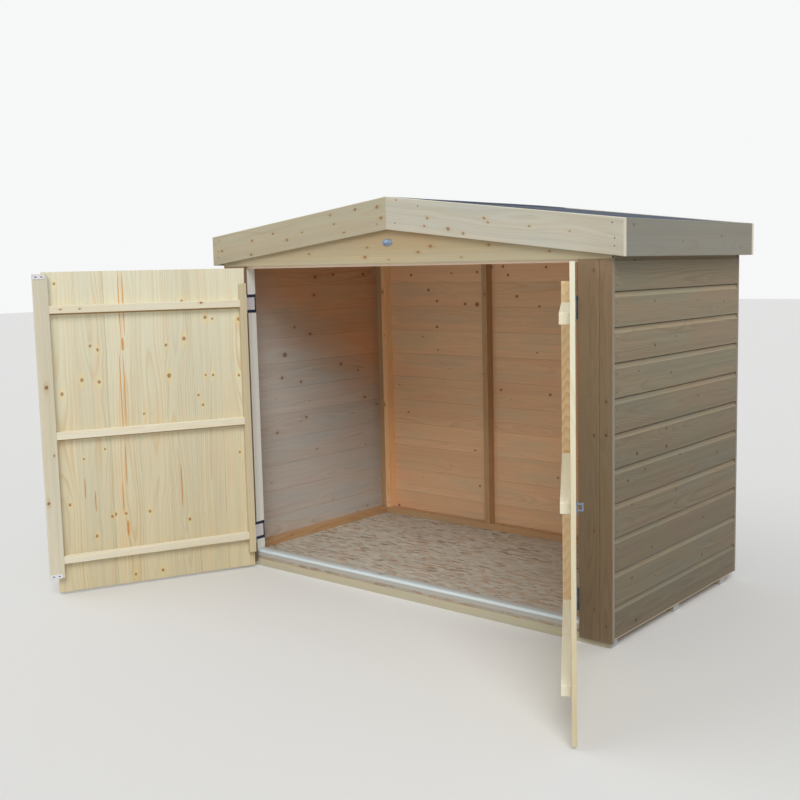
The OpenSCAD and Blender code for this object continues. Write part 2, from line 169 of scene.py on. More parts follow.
# adds one board: its own coordinates (along, across, thick) are kept for the grain, shifted by a chance
# amount so that no two boards show the same rings; cuts halfway between its knots give each stretch its
# own. tinted marks faces with a colour of their own, shade makes points lighter or darker, and both are a
# number or a rule of the points
def addBoard(stack, outline, length, origin, axes, start=0.0, order=(0, 1, 2), soft=0.0012, limit=None,
             pith=None, knots="chance", tinted=0.0, shade=0.0, resin=0.0, cuts=(), veins=()):
    outline = np.asarray(outline, float)
    end = start + length
    lengthwise = order == (0, 1, 2)
    if knots == "chance":
        knots = chanceKnots(start, end, outline[:, 0].min(), outline[:, 0].max()) if lengthwise else []
    knots = sorted(knots)
    halfway = [0.5 * (a[0] + b[0]) for a, b in zip(knots[:-1], knots[1:]) if b[0] - a[0] > chance.cutApart]
    between = [c for c in halfway if start + 2 * soft < c < end - 2 * soft] if lengthwise else []
    stations = [start, start + soft] + sorted(between + list(cuts)) + [end - soft, end]
    insets = [soft] + [0.0] * (len(stations) - 2) + [soft]
    verts, faces = carryOutline(outline, stations, insets, limit)
    axes = np.asarray(axes, float)
    if np.linalg.det(axes) < 0:
        faces = [face[::-1] for face in faces]
    own = verts[:, order]
    middle = 0.5 * (own.min(axis=0) + own.max(axis=0))
    if pith is None:
        pithAcross = dice.uniform(-chance.pithAcross, chance.pithAcross)
        pith = (pithAcross, dice.uniform(*chance.pithDeep) * dice.choice([-1, 1]))
    shift = np.array([dice.uniform(0, chance.shift), pith[0] - middle[1], pith[1]])
    nearest = perStretch(stations, lambda at: sorted(knots, key=lambda knot: abs(knot[0] - at))[:2], noKnot)
    lines = [(across, 0.5 * (low + high), 0.5 * (high - low)) for across, low, high in veins]
    covering = perStretch(stations, lambda at: [own for own in lines if abs(at - own[1]) < own[2]], noVein)
    marks = ((nearest, faceFields[:2], shift[:2]), (covering, faceFields[2:], shift[1::-1]))
    for pairs, names, moves in marks:
        perFace = [pair for pair in pairs for _ in range(len(outline))] + [pairs[0], pairs[-1]]
        for place in (0, 1):
            rows = np.array([pair[place] for pair in perFace], float)
            rows[:, :2] += moves
            stack[names[place]].append(rows)
    stack["verts"].append(verts @ axes + np.asarray(origin, float))
    stack["grain"].append(own + shift)
    for field, rule in zip(pointFields, (dice.uniform(-1, 1), tinted, shade, resin)):
        values = rule(verts) if callable(rule) else np.full(len(verts), rule)
        stack[field].append(np.asarray(values, float))
    stack["faces"] += [[q + stack["count"] for q in face] for face in faces]
    stack["count"] += len(verts)


# a squared timber between two corners, its grain along the named axis
def addTimber(stack, cornerA, cornerB, grainAxis, radius=0.0015, **more):
    low = np.minimum(cornerA, cornerB)
    size = np.maximum(cornerA, cornerB) - low
    a = "xyz".index(grainAxis)
    b, c = (a + 1) % 3, (a + 2) % 3
    addBoard(stack, softBox(size[b], size[c], radius), size[a], low, np.eye(3)[[a, b, c]], **more)


# an object at the origin, unturned
def addObject(name, data):
    made = bpy.data.objects.new(name, data)
    bpy.context.scene.collection.objects.link(made)
    return made


# each finish is a material and the slot of the construction that it belongs to
finishes = {}


# a piece of the part: its mesh, material and body, and the node that it stands for
def addPiece(name, verts, faces, finish, node=None, bodyName="shed"):
    mesh = bpy.data.meshes.new(name)
    mesh.from_pydata(verts.tolist(), [], faces)
    material, slotName = finishes[finish]
    mesh.materials.append(material)
    piece = addObject(name, mesh)
    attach(piece, bodyName)
    if node:
        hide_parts(node)
    return mesh


# joins the boards of a stack to one piece and writes their fields into its mesh
def finishStack(name, stack, finish, node=None, bodyName="shed"):
    mesh = addPiece(name, np.concatenate(stack["verts"]), stack["faces"], finish, node, bodyName)
    layers = [("grain", "FLOAT_VECTOR", "POINT", "vector")]
    layers += [(field, "FLOAT", "POINT", "value") for field in pointFields]
    layers += [(field, "FLOAT_VECTOR", "FACE", "vector") for field in faceFields]
    for field, kind, domain, key in layers:
        values = np.concatenate(stack[field]).astype(np.float32).ravel()
        mesh.attributes.new(field, kind, domain).data.foreach_set(key, values)


# the tree that the node makers add to
current = {}


# inputs of a node or shader: a number, a colour or another node's output for each
def fill(node, inputs):
    for key, value in inputs.items() if isinstance(inputs, dict) else enumerate(inputs):
        socket = node.inputs[key]
        if isinstance(value, bpy.types.NodeSocket):
            current["tree"].links.new(value, socket)
        else:
            socket.default_value = (*value, 1.0) if socket.type == "RGBA" else value


# a node of the current tree
def addNode(kind, inputs=(), **settings):
    node = current["tree"].nodes.new("ShaderNode" + kind)
    for key, value in settings.items():
        setattr(node, key, value)
    fill(node, inputs)
    return node


def maths(kind, *values, clamp=False):
    return addNode("Math", values, operation=kind, use_clamp=clamp).outputs[0]


def vector(kind, *values):
    return addNode("VectorMath", values, operation=kind).outputs["Value" if kind == "LENGTH" else "Vector"]


add, sub, mul, div = (partial(maths, kind) for kind in ("ADD", "SUBTRACT", "MULTIPLY", "DIVIDE"))
mulAdd, least, most = (partial(maths, kind) for kind in ("MULTIPLY_ADD", "MINIMUM", "MAXIMUM"))
sizeOf, lengthOf = partial(maths, "ABSOLUTE"), partial(vector, "LENGTH")


# 0 to 1 as the value goes from one number to another, or between two shares
def ramp(value, fromLow, fromHigh, toLow=0.0, toHigh=1.0, smooth=True):
    kind = "SMOOTHSTEP" if smooth else "LINEAR"
    return addNode("MapRange", (value, fromLow, fromHigh, toLow, toHigh), interpolation_type=kind).outputs[0]


# a smooth noise whose waves a metre are the stretch
def noise(place, stretch, detail=2.0, rough=0.5, output="Fac"):
    stretch = (stretch,) * 3 if isinstance(stretch, (int, float)) else stretch
    stretched = vector("MULTIPLY", place, stretch)
    inputs = {"Vector": stretched, "Scale": 1.0, "Detail": detail, "Roughness": rough}
    return addNode("TexNoise", inputs).outputs[output]


# the chance colour of the cell round each place, in three parts, and the distance from its middle
def cells(place, scale):
    outputs = addNode("TexVoronoi", {"Vector": place, "Scale": scale}).outputs
    return addNode("SeparateColor", (outputs["Color"],)).outputs, outputs["Distance"]


def split(place):
    return addNode("SeparateXYZ", (place,)).outputs


def join(*parts):
    return addNode("CombineXYZ", parts).outputs[0]


def mix(factor, a, b, blend="MIX"):
    return addNode("Mix", {0: factor, 6: a, 7: b}, data_type="RGBA", blend_type=blend).outputs[2]


def mixValue(factor, a, b):
    return addNode("Mix", {0: factor, 2: a, 3: b}).outputs[0]


# a colour for each value, from rows of place and colour in rising order
def stops(value, rows):
    node = addNode("ValToRGB", (value,))
    elements = node.color_ramp.elements
    for element, (place, colour) in zip(list(elements), (rows[0], rows[-1])):
        element.position = place
        element.color = (*colour, 1)
    for place, colour in rows[1:-1]:
        elements.new(place).color = (*colour, 1)
    return node.outputs["Color"]


def readField(name, output="Fac"):
    return addNode("Attribute", attribute_name=name).outputs[output]


def objectPlace():
    return addNode("TexCoord").outputs["Object"]


def startMaterial(name):
    material = bpy.data.materials.new(name)
    material.use_nodes = True
    current["tree"] = material.node_tree
    return material, material.node_tree.nodes["Principled BSDF"]


# the shader's own sockets, and a bump from a height
def dress(shader, sockets, height, strength, distance):
    bump = addNode("Bump", {"Height": height, "Strength": strength, "Distance": distance})
    fill(shader, {**sockets, "Normal": bump.outputs["Normal"]})


# the wood's patterns: stretches are waves a metre along, across and through the board, and pairs are the
# values between which a pattern sets in
woodPattern = Kit(
    ragged=(110, 170, 170), knotLong=0.85, haloLong=0.40, push=-0.8, heart=(0.95, 0.45), haloNear=0.7,
    wander=((1.5, 0, 0), (0, 0.10, 0.07)), ripple=((3.5, 16, 16), (0, 0.008, 0.008)), uneven=70,
    unevenDeep=1.6, lateAt=0.88, lateEnd=0.05, fade=(1.2, 12, 12), faded=(0.3, 0.72, 0.2),
    fibres=(9, 420, 420),
    bandsLong=0.012, bands=62, streaked=(0.56, 0.70), blotches=(2.2, 12, 12), cooled=(0.50, 0.66),
    blushed=(0.50, 0.34), sticky=(0.35, 0.9), stickyAt=(0.36, 0.52), stickyNear=(0.034, 0.022),
    stickyShare=0.85, veinSway=0.006, dropToVein=(0.030, 0.045), veinEdge=(0.0008, -0.0006),
    lineEdge=(0.0055, 0.0030), roughFrom=(0.2, 0.8), roughVary=0.08, specular=0.3, lateRelief=0.35,
    knotRelief=0.6, bumpHigh=0.0006,
)


# softwood cut from a ringed log: the ring number is the distance from a wandering pith line divided by the
# ring width; round a knot the grain is pushed aside by (across - knot) * push * exp(-(r / reach / size)^2)
def woodMaterial(name, look):
    material, shader = startMaterial(name)
    p = woodPattern
    grain = readField("grain", "Vector")
    gx, gy, gz = split(grain)
    ragged = sub(noise(grain, p.ragged), 0.5)
    across, ratio, halo = gy, None, None
    for field in faceFields[:2]:
        kx, ky, size = split(readField(field, "Vector"))
        dx = sub(gx, kx)
        dy = sub(gy, ky)
        r = lengthOf(join(mul(dx, p.knotLong), dy, 0.0))
        own = div(mulAdd(ragged, look.knotRagged, r), size)
        ownHalo = div(lengthOf(join(mul(dx, p.haloLong), dy, 0.0)), size)
        share = div(ownHalo, look.knotReach)
        push = maths("EXPONENT", mul(mul(share, share), -1.0))
        across = add(across, mul(mul(dy, p.push), push))
        ratio = own if ratio is None else least(ratio, own)
        halo = ownHalo if halo is None else least(halo, ownHalo)
    core = ramp(ratio, 1.0 + look.knotSoft, 1.0 - look.knotSoft)
    heart = ramp(ratio, *p.heart)
    halo = ramp(halo, look.haloReach, p.haloNear)

    # the pith line wanders slowly, with a ripple on it
    def sway(key, detail):
        stretch, reach = p[key]
        centred = vector("SUBTRACT", noise(grain, stretch, detail, output="Color"), (0.5, 0.5, 0.5))
        return vector("MULTIPLY", centred, reach)

    pithed = vector("ADD", join(0.0, across, gz), vector("ADD", sway("wander", 1.0), sway("ripple", 2.0)))
    distance = lengthOf(vector("MULTIPLY", pithed, (0.0, 1.0, 1.0)))
    uneven = noise(join(distance, 0.0, 0.0), p.uneven, 1.0)
    rings = mulAdd(uneven, p.unevenDeep, div(distance, look.ring))
    phase = maths("FRACT", mulAdd(gx, look.slant, rings))
    # a ring is pale, darkens slowly and ends sharply
    late = stops(phase, [(look.early, (0, 0, 0)), (p.lateAt, (1, 1, 1)), (1.0, (p.lateEnd,) * 3)])
    fade = noise(grain, p.fade)
    fibres = noise(grain, p.fibres, 3.0, 0.6)
    bands = noise(join(mul(gx, p.bandsLong), across, gz), p.bands)
    blotches = noise(grain, p.blotches, 3.0)
    shown = mul(late, ramp(fade, *p.faded, look.ringStrength))
    colour = mix(shown, look.pale, look.late)
    colour = mix(mul(ramp(bands, *p.streaked), look.resin), colour, look.streak)
    colour = mix(ramp(blotches, *p.cooled, 0.0, look.tint), colour, look.cool)
    colour = mix(ramp(blotches, *p.blushed, 0.0, look.tint), colour, look.blush)
    resinous = mul(readField("resin"), ramp(fade, *p.stickyAt))
    sticky = mul(mul(ramp(late, *p.sticky), resinous), ramp(distance, *p.stickyNear))
    colour = mix(mul(sticky, p.stickyShare), colour, look.streak)
    # a vein is a thin line along the grain that narrows to its ends by 1 - (distance / half length)^4
    for field in faceFields[2:] if look.vein > 0 else ():
        veinAcross, veinAlong, veinHalf = split(readField(field, "Vector"))
        off = sizeOf(sub(mulAdd(sub(fade, 0.5), p.veinSway, gy), veinAcross))
        reach = sizeOf(div(sub(gx, veinAlong), veinHalf))
        narrow = sub(1.0, maths("POWER", reach, 4.0), clamp=True)
        width = mul(ramp(veinHalf, *p.dropToVein, look.dropWide, look.veinWide), narrow)
        inside = ramp(sub(off, width), *p.veinEdge)
        colour = mix(mul(inside, look.vein), colour, look.streak)
    colour = mix(mul(halo, look.haloStrength), colour, look.halo)
    knot = mix(heart, look.knot, look.knotHeart)
    colour = mix(mul(core, look.knotStrength), colour, knot)
    light = mulAdd(readField("tone"), look.boardVary, 1.0)
    light = mulAdd(sub(fibres, 0.5), look.fibre, light)
    light = mulAdd(sub(bands, 0.5), look.bandVary, light)
    light = add(light, readField("shade"))
    colour = mix(1.0, colour, join(light, light, light), "MULTIPLY")
    placeY, height = split(objectPlace())[1:3]
    slantHeight = mulAdd(placeY, look.tintSlope, height)
    marked = readField("tinted")
    # the colour changes slowly from the foot to the head, along a height that leans with y; on the left
    # wall's inside this is painted light from the doorway, and at the gable's head painted shadow under the
    # roof
    for (foot, head), share in ((look.plainTint, sub(1.0, marked)), (look.markedTint, marked)):
        rise = ramp(slantHeight, *look.tintFrom, smooth=False)
        colour = mix(share, colour, mix(1.0, colour, mix(rise, foot, head), "MULTIPLY"))
    # painted shadow: a thin dark orange-brown line on the marked inner face of the door boards just under
    # each ledge, at the heights in lines
    for line in look.lines:
        beside = ramp(sizeOf(sub(height, line)), *p.lineEdge)
        colour = mix(mul(beside, marked), colour, look.lineColour)
    rough = (look.rough - p.roughVary, look.rough + p.roughVary)
    sockets = {"Base Color": colour, "Roughness": ramp(fibres, *p.roughFrom, *rough, False),
               "Specular IOR Level": p.specular}
    relief = mulAdd(core, p.knotRelief, mulAdd(late, p.lateRelief, fibres))
    dress(shader, sockets, relief, look.bump, p.bumpHigh)
    return material, look.slot


# the same tint from foot to head
def even(*tint):
    return tint, tint


plainWood = Kit(
    slot="frame_timber", pale=(0.67, 0.6, 0.42), late=(0.58, 0.43, 0.24), cool=(0.62, 0.6, 0.46),
    blush=(0.64, 0.5, 0.34), streak=(0.66, 0.36, 0.13), knot=(0.19, 0.085, 0.03),
    knotHeart=(0.34, 0.17, 0.07), halo=(0.62, 0.44, 0.2), ring=0.0066, early=0.3, ringStrength=0.6,
    resin=0.16, tint=0.35, knotReach=3.2, haloReach=2.4, haloStrength=0.45, knotStrength=0.95,
    boardVary=0.05, bandVary=0.22, fibre=0.14, rough=0.62, bump=0.35, vein=0.0, veinWide=0.0021,
    dropWide=0.005, knotRagged=0.0075, knotSoft=0.3, slant=0.0, tintSlope=0.0, tintFrom=(0.05, 1.3),
    plainTint=even(1, 1, 1), markedTint=even(1, 1, 1), lines=(), lineColour=(0.4, 0.24, 0.1),
)
# a darker wood for the outside of the walls, darker than the doors: partly the treated wood's own tone,
# partly painted shade that falls on the walls
darkOutsideWood = Kit(
    slot="cladding", pale=(0.275, 0.232, 0.16), late=(0.215, 0.16, 0.102), cool=(0.24, 0.225, 0.168),
    blush=(0.275, 0.21, 0.148), streak=(0.26, 0.19, 0.1), knot=(0.1, 0.055, 0.032),
    knotHeart=(0.15, 0.09, 0.055), halo=(0.27, 0.21, 0.14),
)
doorTint = ((0.86, 0.82, 0.76), (1.1, 1.15, 1.25))
woodLooks = Kit(
    claddingWood=Kit(
        darkOutsideWood, boardVary=0.09, tint=0.75, fibre=0.44, bandVary=0.42, ringStrength=0.8,
        plainTint=((0.61, 0.6, 0.58), (0.98, 0.94, 0.86)), markedTint=even(2.9, 2.2, 1.7)),
    # on the left wall's inside the marked tint is painted light from the doorway: bluish daylight on the
    # lower front part and warm bounced light higher up, along a line that leans with y
    leftCladdingWood=Kit(
        darkOutsideWood, late=(0.225, 0.165, 0.105), streak=(0.3, 0.18, 0.08), knot=(0.1, 0.055, 0.035),
        knotHeart=(0.13, 0.075, 0.045), halo=(0.25, 0.18, 0.11), knotSoft=0.5, haloReach=2.9, tint=0.6,
        fibre=0.26, ringStrength=0.9, tintSlope=0.63, tintFrom=(0.8, 1.12), plainTint=even(0.8, 0.78, 0.74),
        markedTint=((1.95, 2.16, 2.85), (2.3, 1.55, 1.25))),
    backCladdingWood=Kit(
        darkOutsideWood, late=(0.235, 0.18, 0.115), cool=(0.235, 0.225, 0.17), blush=(0.275, 0.205, 0.145),
        knot=(0.08, 0.04, 0.022), knotHeart=(0.12, 0.065, 0.035), boardVary=0.06, tint=0.6, fibre=0.24,
        ringStrength=0.85, markedTint=even(3.15, 2.45, 2.1)),
    insideWood=Kit(
        pale=(0.54, 0.34, 0.18), late=(0.4, 0.22, 0.1), cool=(0.49, 0.36, 0.23), blush=(0.52, 0.3, 0.15),
        halo=(0.4, 0.22, 0.1)),
    # the trims and front boards are dark: partly their own tone, partly painted shade from the open right
    # door; their marked side faces are painted lighter as painted light, and they grow lighter towards the
    # head
    trimWood=Kit(
        slot="trim_timber", pale=(0.205, 0.15, 0.09), late=(0.165, 0.112, 0.066), cool=(0.185, 0.155, 0.108),
        blush=(0.205, 0.135, 0.082), streak=(0.2, 0.12, 0.06), knot=(0.065, 0.038, 0.02),
        knotHeart=(0.12, 0.07, 0.04), halo=(0.18, 0.12, 0.065), ringStrength=0.85, fibre=0.26,
        plainTint=((0.95, 0.96, 1), (1.34, 1.3, 1.33)), markedTint=even(1.35, 1.6, 2.1)),
    # the gable board is paler and greener at its foot and darker and more orange at its head: the head is
    # painted shadow under the bargeboards
    gableWood=Kit(
        slot="gable_timber", pale=(0.47, 0.385, 0.235), late=(0.39, 0.27, 0.135), cool=(0.44, 0.39, 0.27),
        blush=(0.48, 0.34, 0.18), halo=(0.44, 0.28, 0.12), tintFrom=(1.31, 1.48),
        plainTint=((1.03, 1.1, 1.18), (0.86, 0.66, 0.49))),
    bargeWood=Kit(
        slot="barge_timber", pale=(0.53, 0.475, 0.345), late=(0.46, 0.37, 0.235), cool=(0.47, 0.47, 0.39),
        blush=(0.53, 0.42, 0.29), ring=0.0078, knot=(0.22, 0.1, 0.045), knotHeart=(0.34, 0.2, 0.1),
        halo=(0.5, 0.38, 0.21), knotReach=3.6, plainTint=even(1.05, 1.12, 1.27),
        markedTint=even(0.86, 0.86, 0.84)),
    fasciaWood=Kit(
        slot="barge_timber", pale=(0.275, 0.262, 0.215), late=(0.235, 0.208, 0.16),
        cool=(0.245, 0.255, 0.225), blush=(0.285, 0.235, 0.185), knot=(0.13, 0.07, 0.045),
        knotHeart=(0.19, 0.12, 0.08), halo=(0.27, 0.2, 0.14), streak=(0.27, 0.19, 0.12)),
    doorWood=Kit(
        slot="door_timber", pale=(0.725, 0.672, 0.478), late=(0.655, 0.505, 0.285), cool=(0.7, 0.665, 0.49),
        blush=(0.72, 0.58, 0.365), streak=(0.66, 0.32, 0.1), knot=(0.3, 0.145, 0.05),
        knotHeart=(0.42, 0.23, 0.09), halo=(0.8, 0.66, 0.34), ring=0.0085, early=0.4, ringStrength=0.95,
        vein=1.0, bandVary=0.26, fibre=0.17, haloStrength=0.7, haloReach=2.8, knotSoft=0.42,
        # lines are the heights of painted shadow lines just under the ledges
        plainTint=doorTint, markedTint=doorTint, lines=(0.1325, 0.6335, 1.1325),
        lineColour=(0.42, 0.27, 0.11)),
    # the ledges' marked top faces are painted lighter: painted light from above
    ledgeWood=Kit(
        slot="ledge_timber", pale=(0.79, 0.74, 0.58), late=(0.72, 0.62, 0.43), cool=(0.76, 0.74, 0.61),
        blush=(0.77, 0.67, 0.48), markedTint=even(1.14, 1.16, 1.2)),
    # the right door's batten: its orange stripes are the wood's own, and its pale tone is raised as painted
    # light on a piece that lies in shade
    battenWood=Kit(
        slot="ledge_timber", pale=(0.84, 0.64, 0.4), late=(0.7, 0.39, 0.15), cool=(0.81, 0.66, 0.43),
        blush=(0.83, 0.56, 0.29), ringStrength=1.0, ring=0.034, slant=26.0, early=0.2),
    leftBattenWood=Kit(
        slot="ledge_timber", pale=(0.65, 0.57, 0.385), late=(0.57, 0.43, 0.23), cool=(0.64, 0.58, 0.42),
        blush=(0.65, 0.53, 0.32), ringStrength=0.5),
    # the posts are pale and bluish white: partly the planed wood's own colour, partly painted skylight on
    # the reveal
    frameWood=Kit(
        pale=(0.86, 0.89, 0.86), late=(0.76, 0.72, 0.64), cool=(0.82, 0.87, 0.88), blush=(0.85, 0.81, 0.77),
        resin=0.05, halo=(0.6, 0.45, 0.3)),
    # the sill's marked tint is a painted highlight on its upper front edge
    sillWood=Kit(
        pale=(0.445, 0.435, 0.395), late=(0.38, 0.345, 0.295), cool=(0.425, 0.44, 0.42),
        blush=(0.445, 0.4, 0.36), resin=0.05, halo=(0.33, 0.25, 0.17), markedTint=even(1.48, 1.76, 2.04)),
    # the lintel is made paler than its wood: painted light on its front face, which lies in the gable
    # board's shadow
    lintelWood=Kit(
        pale=(0.86, 0.7, 0.56), late=(0.8, 0.6, 0.45), cool=(0.84, 0.72, 0.6), blush=(0.86, 0.64, 0.5)),
    bearerWood=Kit(
        slot="pressure_treated", pale=(0.52, 0.48, 0.35), late=(0.43, 0.36, 0.235), cool=(0.47, 0.47, 0.37),
        blush=(0.5, 0.4, 0.29), rough=0.75, markedTint=even(0.85, 0.98, 1.42)),
)
for finish, look in woodLooks.items():
    finishes[finish] = woodMaterial(finish, Kit(plainWood, **look))
print("woods made:", len(woodLooks))

strandLook = Kit(
    slot="strand_board", turns=(12, 74, -38), along=24.0, across=95.0, shown=(0.5, 0.45),
    pale=(0.65, 0.63, 0.56), mid=(0.54, 0.5, 0.42), midAt=0.3, dark=(0.28, 0.21, 0.14),
    orange=(0.54, 0.35, 0.22), orangeAt=(0.8, 0.86, 0, 0.7), green=(0.5, 0.53, 0.46),
    greenAt=(0.16, 0.08, 0, 0.5), fine=260, fineAt=(0.3, 0.7, 0, 0.22), edgeAt=(0.044, 0.0432, 0, 0.55),
    rough=0.7, bump=(0.4, 0.0008),
)


# pressed strands: three layers of long cells laid at different angles, each cell with its own tone
def strandMaterial(name, look):
    material, shader = startMaterial(name)
    place = objectPlace()
    long = (look.along, look.across, look.across)
    layers = []
    for turn in look.turns:
        turned = addNode("Mapping", {"Vector": place, "Rotation": (0, 0, math.radians(turn)), "Scale": long})
        layers.append(cells(turned.outputs[0], 1.0)[0])
    top, second, lowest = layers
    pairs = zip(layers, look.shown)
    topShown, secondShown = (maths("GREATER_THAN", layer["Red"], share) for layer, share in pairs)
    tone, kind = (mixValue(topShown, mixValue(secondShown, lowest[part], second[part]), top[part])
                  for part in ("Green", "Blue"))
    colour = stops(tone, [(0.0, look.dark), (look.midAt, look.mid), (1.0, look.pale)])
    colour = mix(ramp(kind, *look.orangeAt), colour, look.orange)
    colour = mix(ramp(kind, *look.greenAt), colour, look.green)
    fine = noise(place, look.fine, 3.0)
    colour = mix(ramp(fine, *look.fineAt), colour, look.dark)
    # the sawn edge of the floor panel is painted darker than its face: painted shade in the recess between
    # the sill and the bearer
    colour = mix(ramp(split(place)[2], *look.edgeAt), colour, look.dark)
    dress(shader, {"Base Color": colour, "Roughness": look.rough}, add(tone, fine), *look.bump)
    return material, look.slot


finishes["strandBoard"] = strandMaterial("strandBoard", strandLook)

feltLook = Kit(
    slot="roof_felt", grains=620, dark=(0.025, 0.036, 0.062), pale=(0.09, 0.112, 0.16),
    dust=(0.07, 0.088, 0.125), dustAt=(0.35, 0.7, 0, 0.5), rough=0.9, patch=5,
    patchHigh=0.8, bump=(0.7, 0.001),
)


# mineral felt: granules in slate tones on a slightly uneven sheet
def feltMaterial(name, look):
    material, shader = startMaterial(name)
    place = objectPlace()
    parts, distance = cells(place, look.grains)
    patch = noise(place, look.patch, 4.0)
    colour = mix(parts["Red"], look.dark, look.pale)
    colour = mix(ramp(patch, *look.dustAt), colour, look.dust)
    relief = mulAdd(patch, look.patchHigh, distance)
    dress(shader, {"Base Color": colour, "Roughness": look.rough}, relief, *look.bump)
    return material, look.slot


finishes["roofFelt"] = feltMaterial("roofFelt", feltLook)

wear = Kit(size=60, dullAt=(0.55, 0.8, 0, 0.4), glossAt=(0.2, 0.8), glossVary=0.25, bump=(0.15, 0.0003))
metals = Kit(
    zincPlate=Kit(
        flakes=240, dark=(0.66, 0.67, 0.72), pale=(0.84, 0.84, 0.88), dull=(0.6, 0.6, 0.64), metal=0.15,
        gloss=0.42),
    greyZinc=Kit(
        flakes=260, dark=(0.19, 0.24, 0.33), pale=(0.28, 0.34, 0.44), dull=(0.16, 0.2, 0.28), metal=0.9,
        gloss=0.22),
    blueSteel=Kit(
        flakes=320, dark=(0.03, 0.055, 0.105), pale=(0.055, 0.09, 0.15), dull=(0.04, 0.05, 0.07), metal=0.5,
        gloss=0.35),
    nailSteel=Kit(
        flakes=400, dark=(0.045, 0.04, 0.038), pale=(0.085, 0.076, 0.07), dull=(0.06, 0.05, 0.045),
        metal=0.5, gloss=0.45),
)


# zinc plate: crystal patches with their own tone, and fine scratches with their own gloss
def zincMaterial(name, look):
    material, shader = startMaterial(name)
    place = objectPlace()
    parts, _ = cells(place, look.flakes)
    wearAndHighlight = noise(place, wear.size, 4.0)
    colour = mix(parts["Red"], look.dark, look.pale)
    colour = mix(ramp(wearAndHighlight, *wear.dullAt), colour, look.dull)
    rough = ramp(wearAndHighlight, *wear.glossAt, look.gloss, look.gloss + wear.glossVary, False)
    dress(shader, {"Base Color": colour, "Metallic": look.metal, "Roughness": rough}, wearAndHighlight, *wear.bump)
    return material, "zinc"


for finish, look in metals.items():
    finishes[finish] = zincMaterial(finish, look)
print("materials made:", len(finishes))

cladding = Kit(
    lap=0.011, lip=0.0075, scoopHigh=0.020, scoopDeep=0.006, slot=0.0032, tongueDeep=0.0100, arris=0.0012,
    step=0.0006, flatEnd=0.0008, topShort=0.001, footHigh=0.0050, lit=0.40, footLit=1.7, innerMark=0.004,
    hollowOver=0.0045, markEdge=0.0002, soft=0.0004, roundAt=0.3,
)


# one shiplap board: a square lip below that hangs over the next board, a flat face, a hollow shoulder whose
# depth is scoopDeep * (1 - (1-t)(1-t)) at the height scoopHigh * t, a dark slot, and a thin tongue above
def shiplapOutline(first, last):
    c = cladding
    pitch, thick, arris, tongue = shed.course, shed.board, c.arris, shed.board - c.tongueDeep
    t = np.linspace(0.0, 1.0, 7)
    inset = arris * c.roundAt
    face = [(0.0, thick - c.lip), (0.0, thick - arris), (inset, thick - inset), (arris, thick)]
    bottom = [(c.lap + c.step, 0.0), (c.lap + c.step, thick - c.lip)]
    if first:
        foot = c.footHigh
        face = [(0.0, 0.0), (0.0, thick - arris), (arris, thick), (foot, thick), (foot + c.step, thick)]
        bottom = []
    face.append((pitch - c.scoopHigh - c.flatEnd, thick))
    rise = pitch - c.scoopHigh + (c.scoopHigh - c.slot) * t
    shoulder = np.stack([rise, thick - c.scoopDeep * (1 - (1 - t) ** 2)], axis=1).tolist()
    shoulder.append((pitch - c.slot + c.step, tongue))
    top = [(pitch + c.lap, tongue), (pitch + c.lap, 0.0)]
    if last:
        top = [(pitch - c.topShort, thick - c.scoopDeep), (pitch - c.topShort, 0.0)]
    return np.array(face + shoulder + top + bottom)[::-1]


# how far a board may reach from the ridge before the roof panels cut it, at each height z
def roofReach(z, half):
    return np.clip((underRidge - z) / roofSlope, shed.leastReach, half)


# the hollow shoulder catches more light, by lit * (1 - t) at its height t, and the lowest foot by footLit
def courseShade(v, first):
    c = cladding
    hollow = c.lit * np.clip((shed.course - c.slot - v[:, 1]) / (c.scoopHigh - c.slot), 0, 1)
    inHollow = (v[:, 1] > shed.course - c.scoopHigh - c.markEdge) & (v[:, 2] > c.hollowOver)
    inFoot = (v[:, 1] < c.footHigh + c.markEdge) & (v[:, 2] > c.innerMark) & first
    return np.where(inHollow, hollow, 0.0) + c.footLit * inFoot


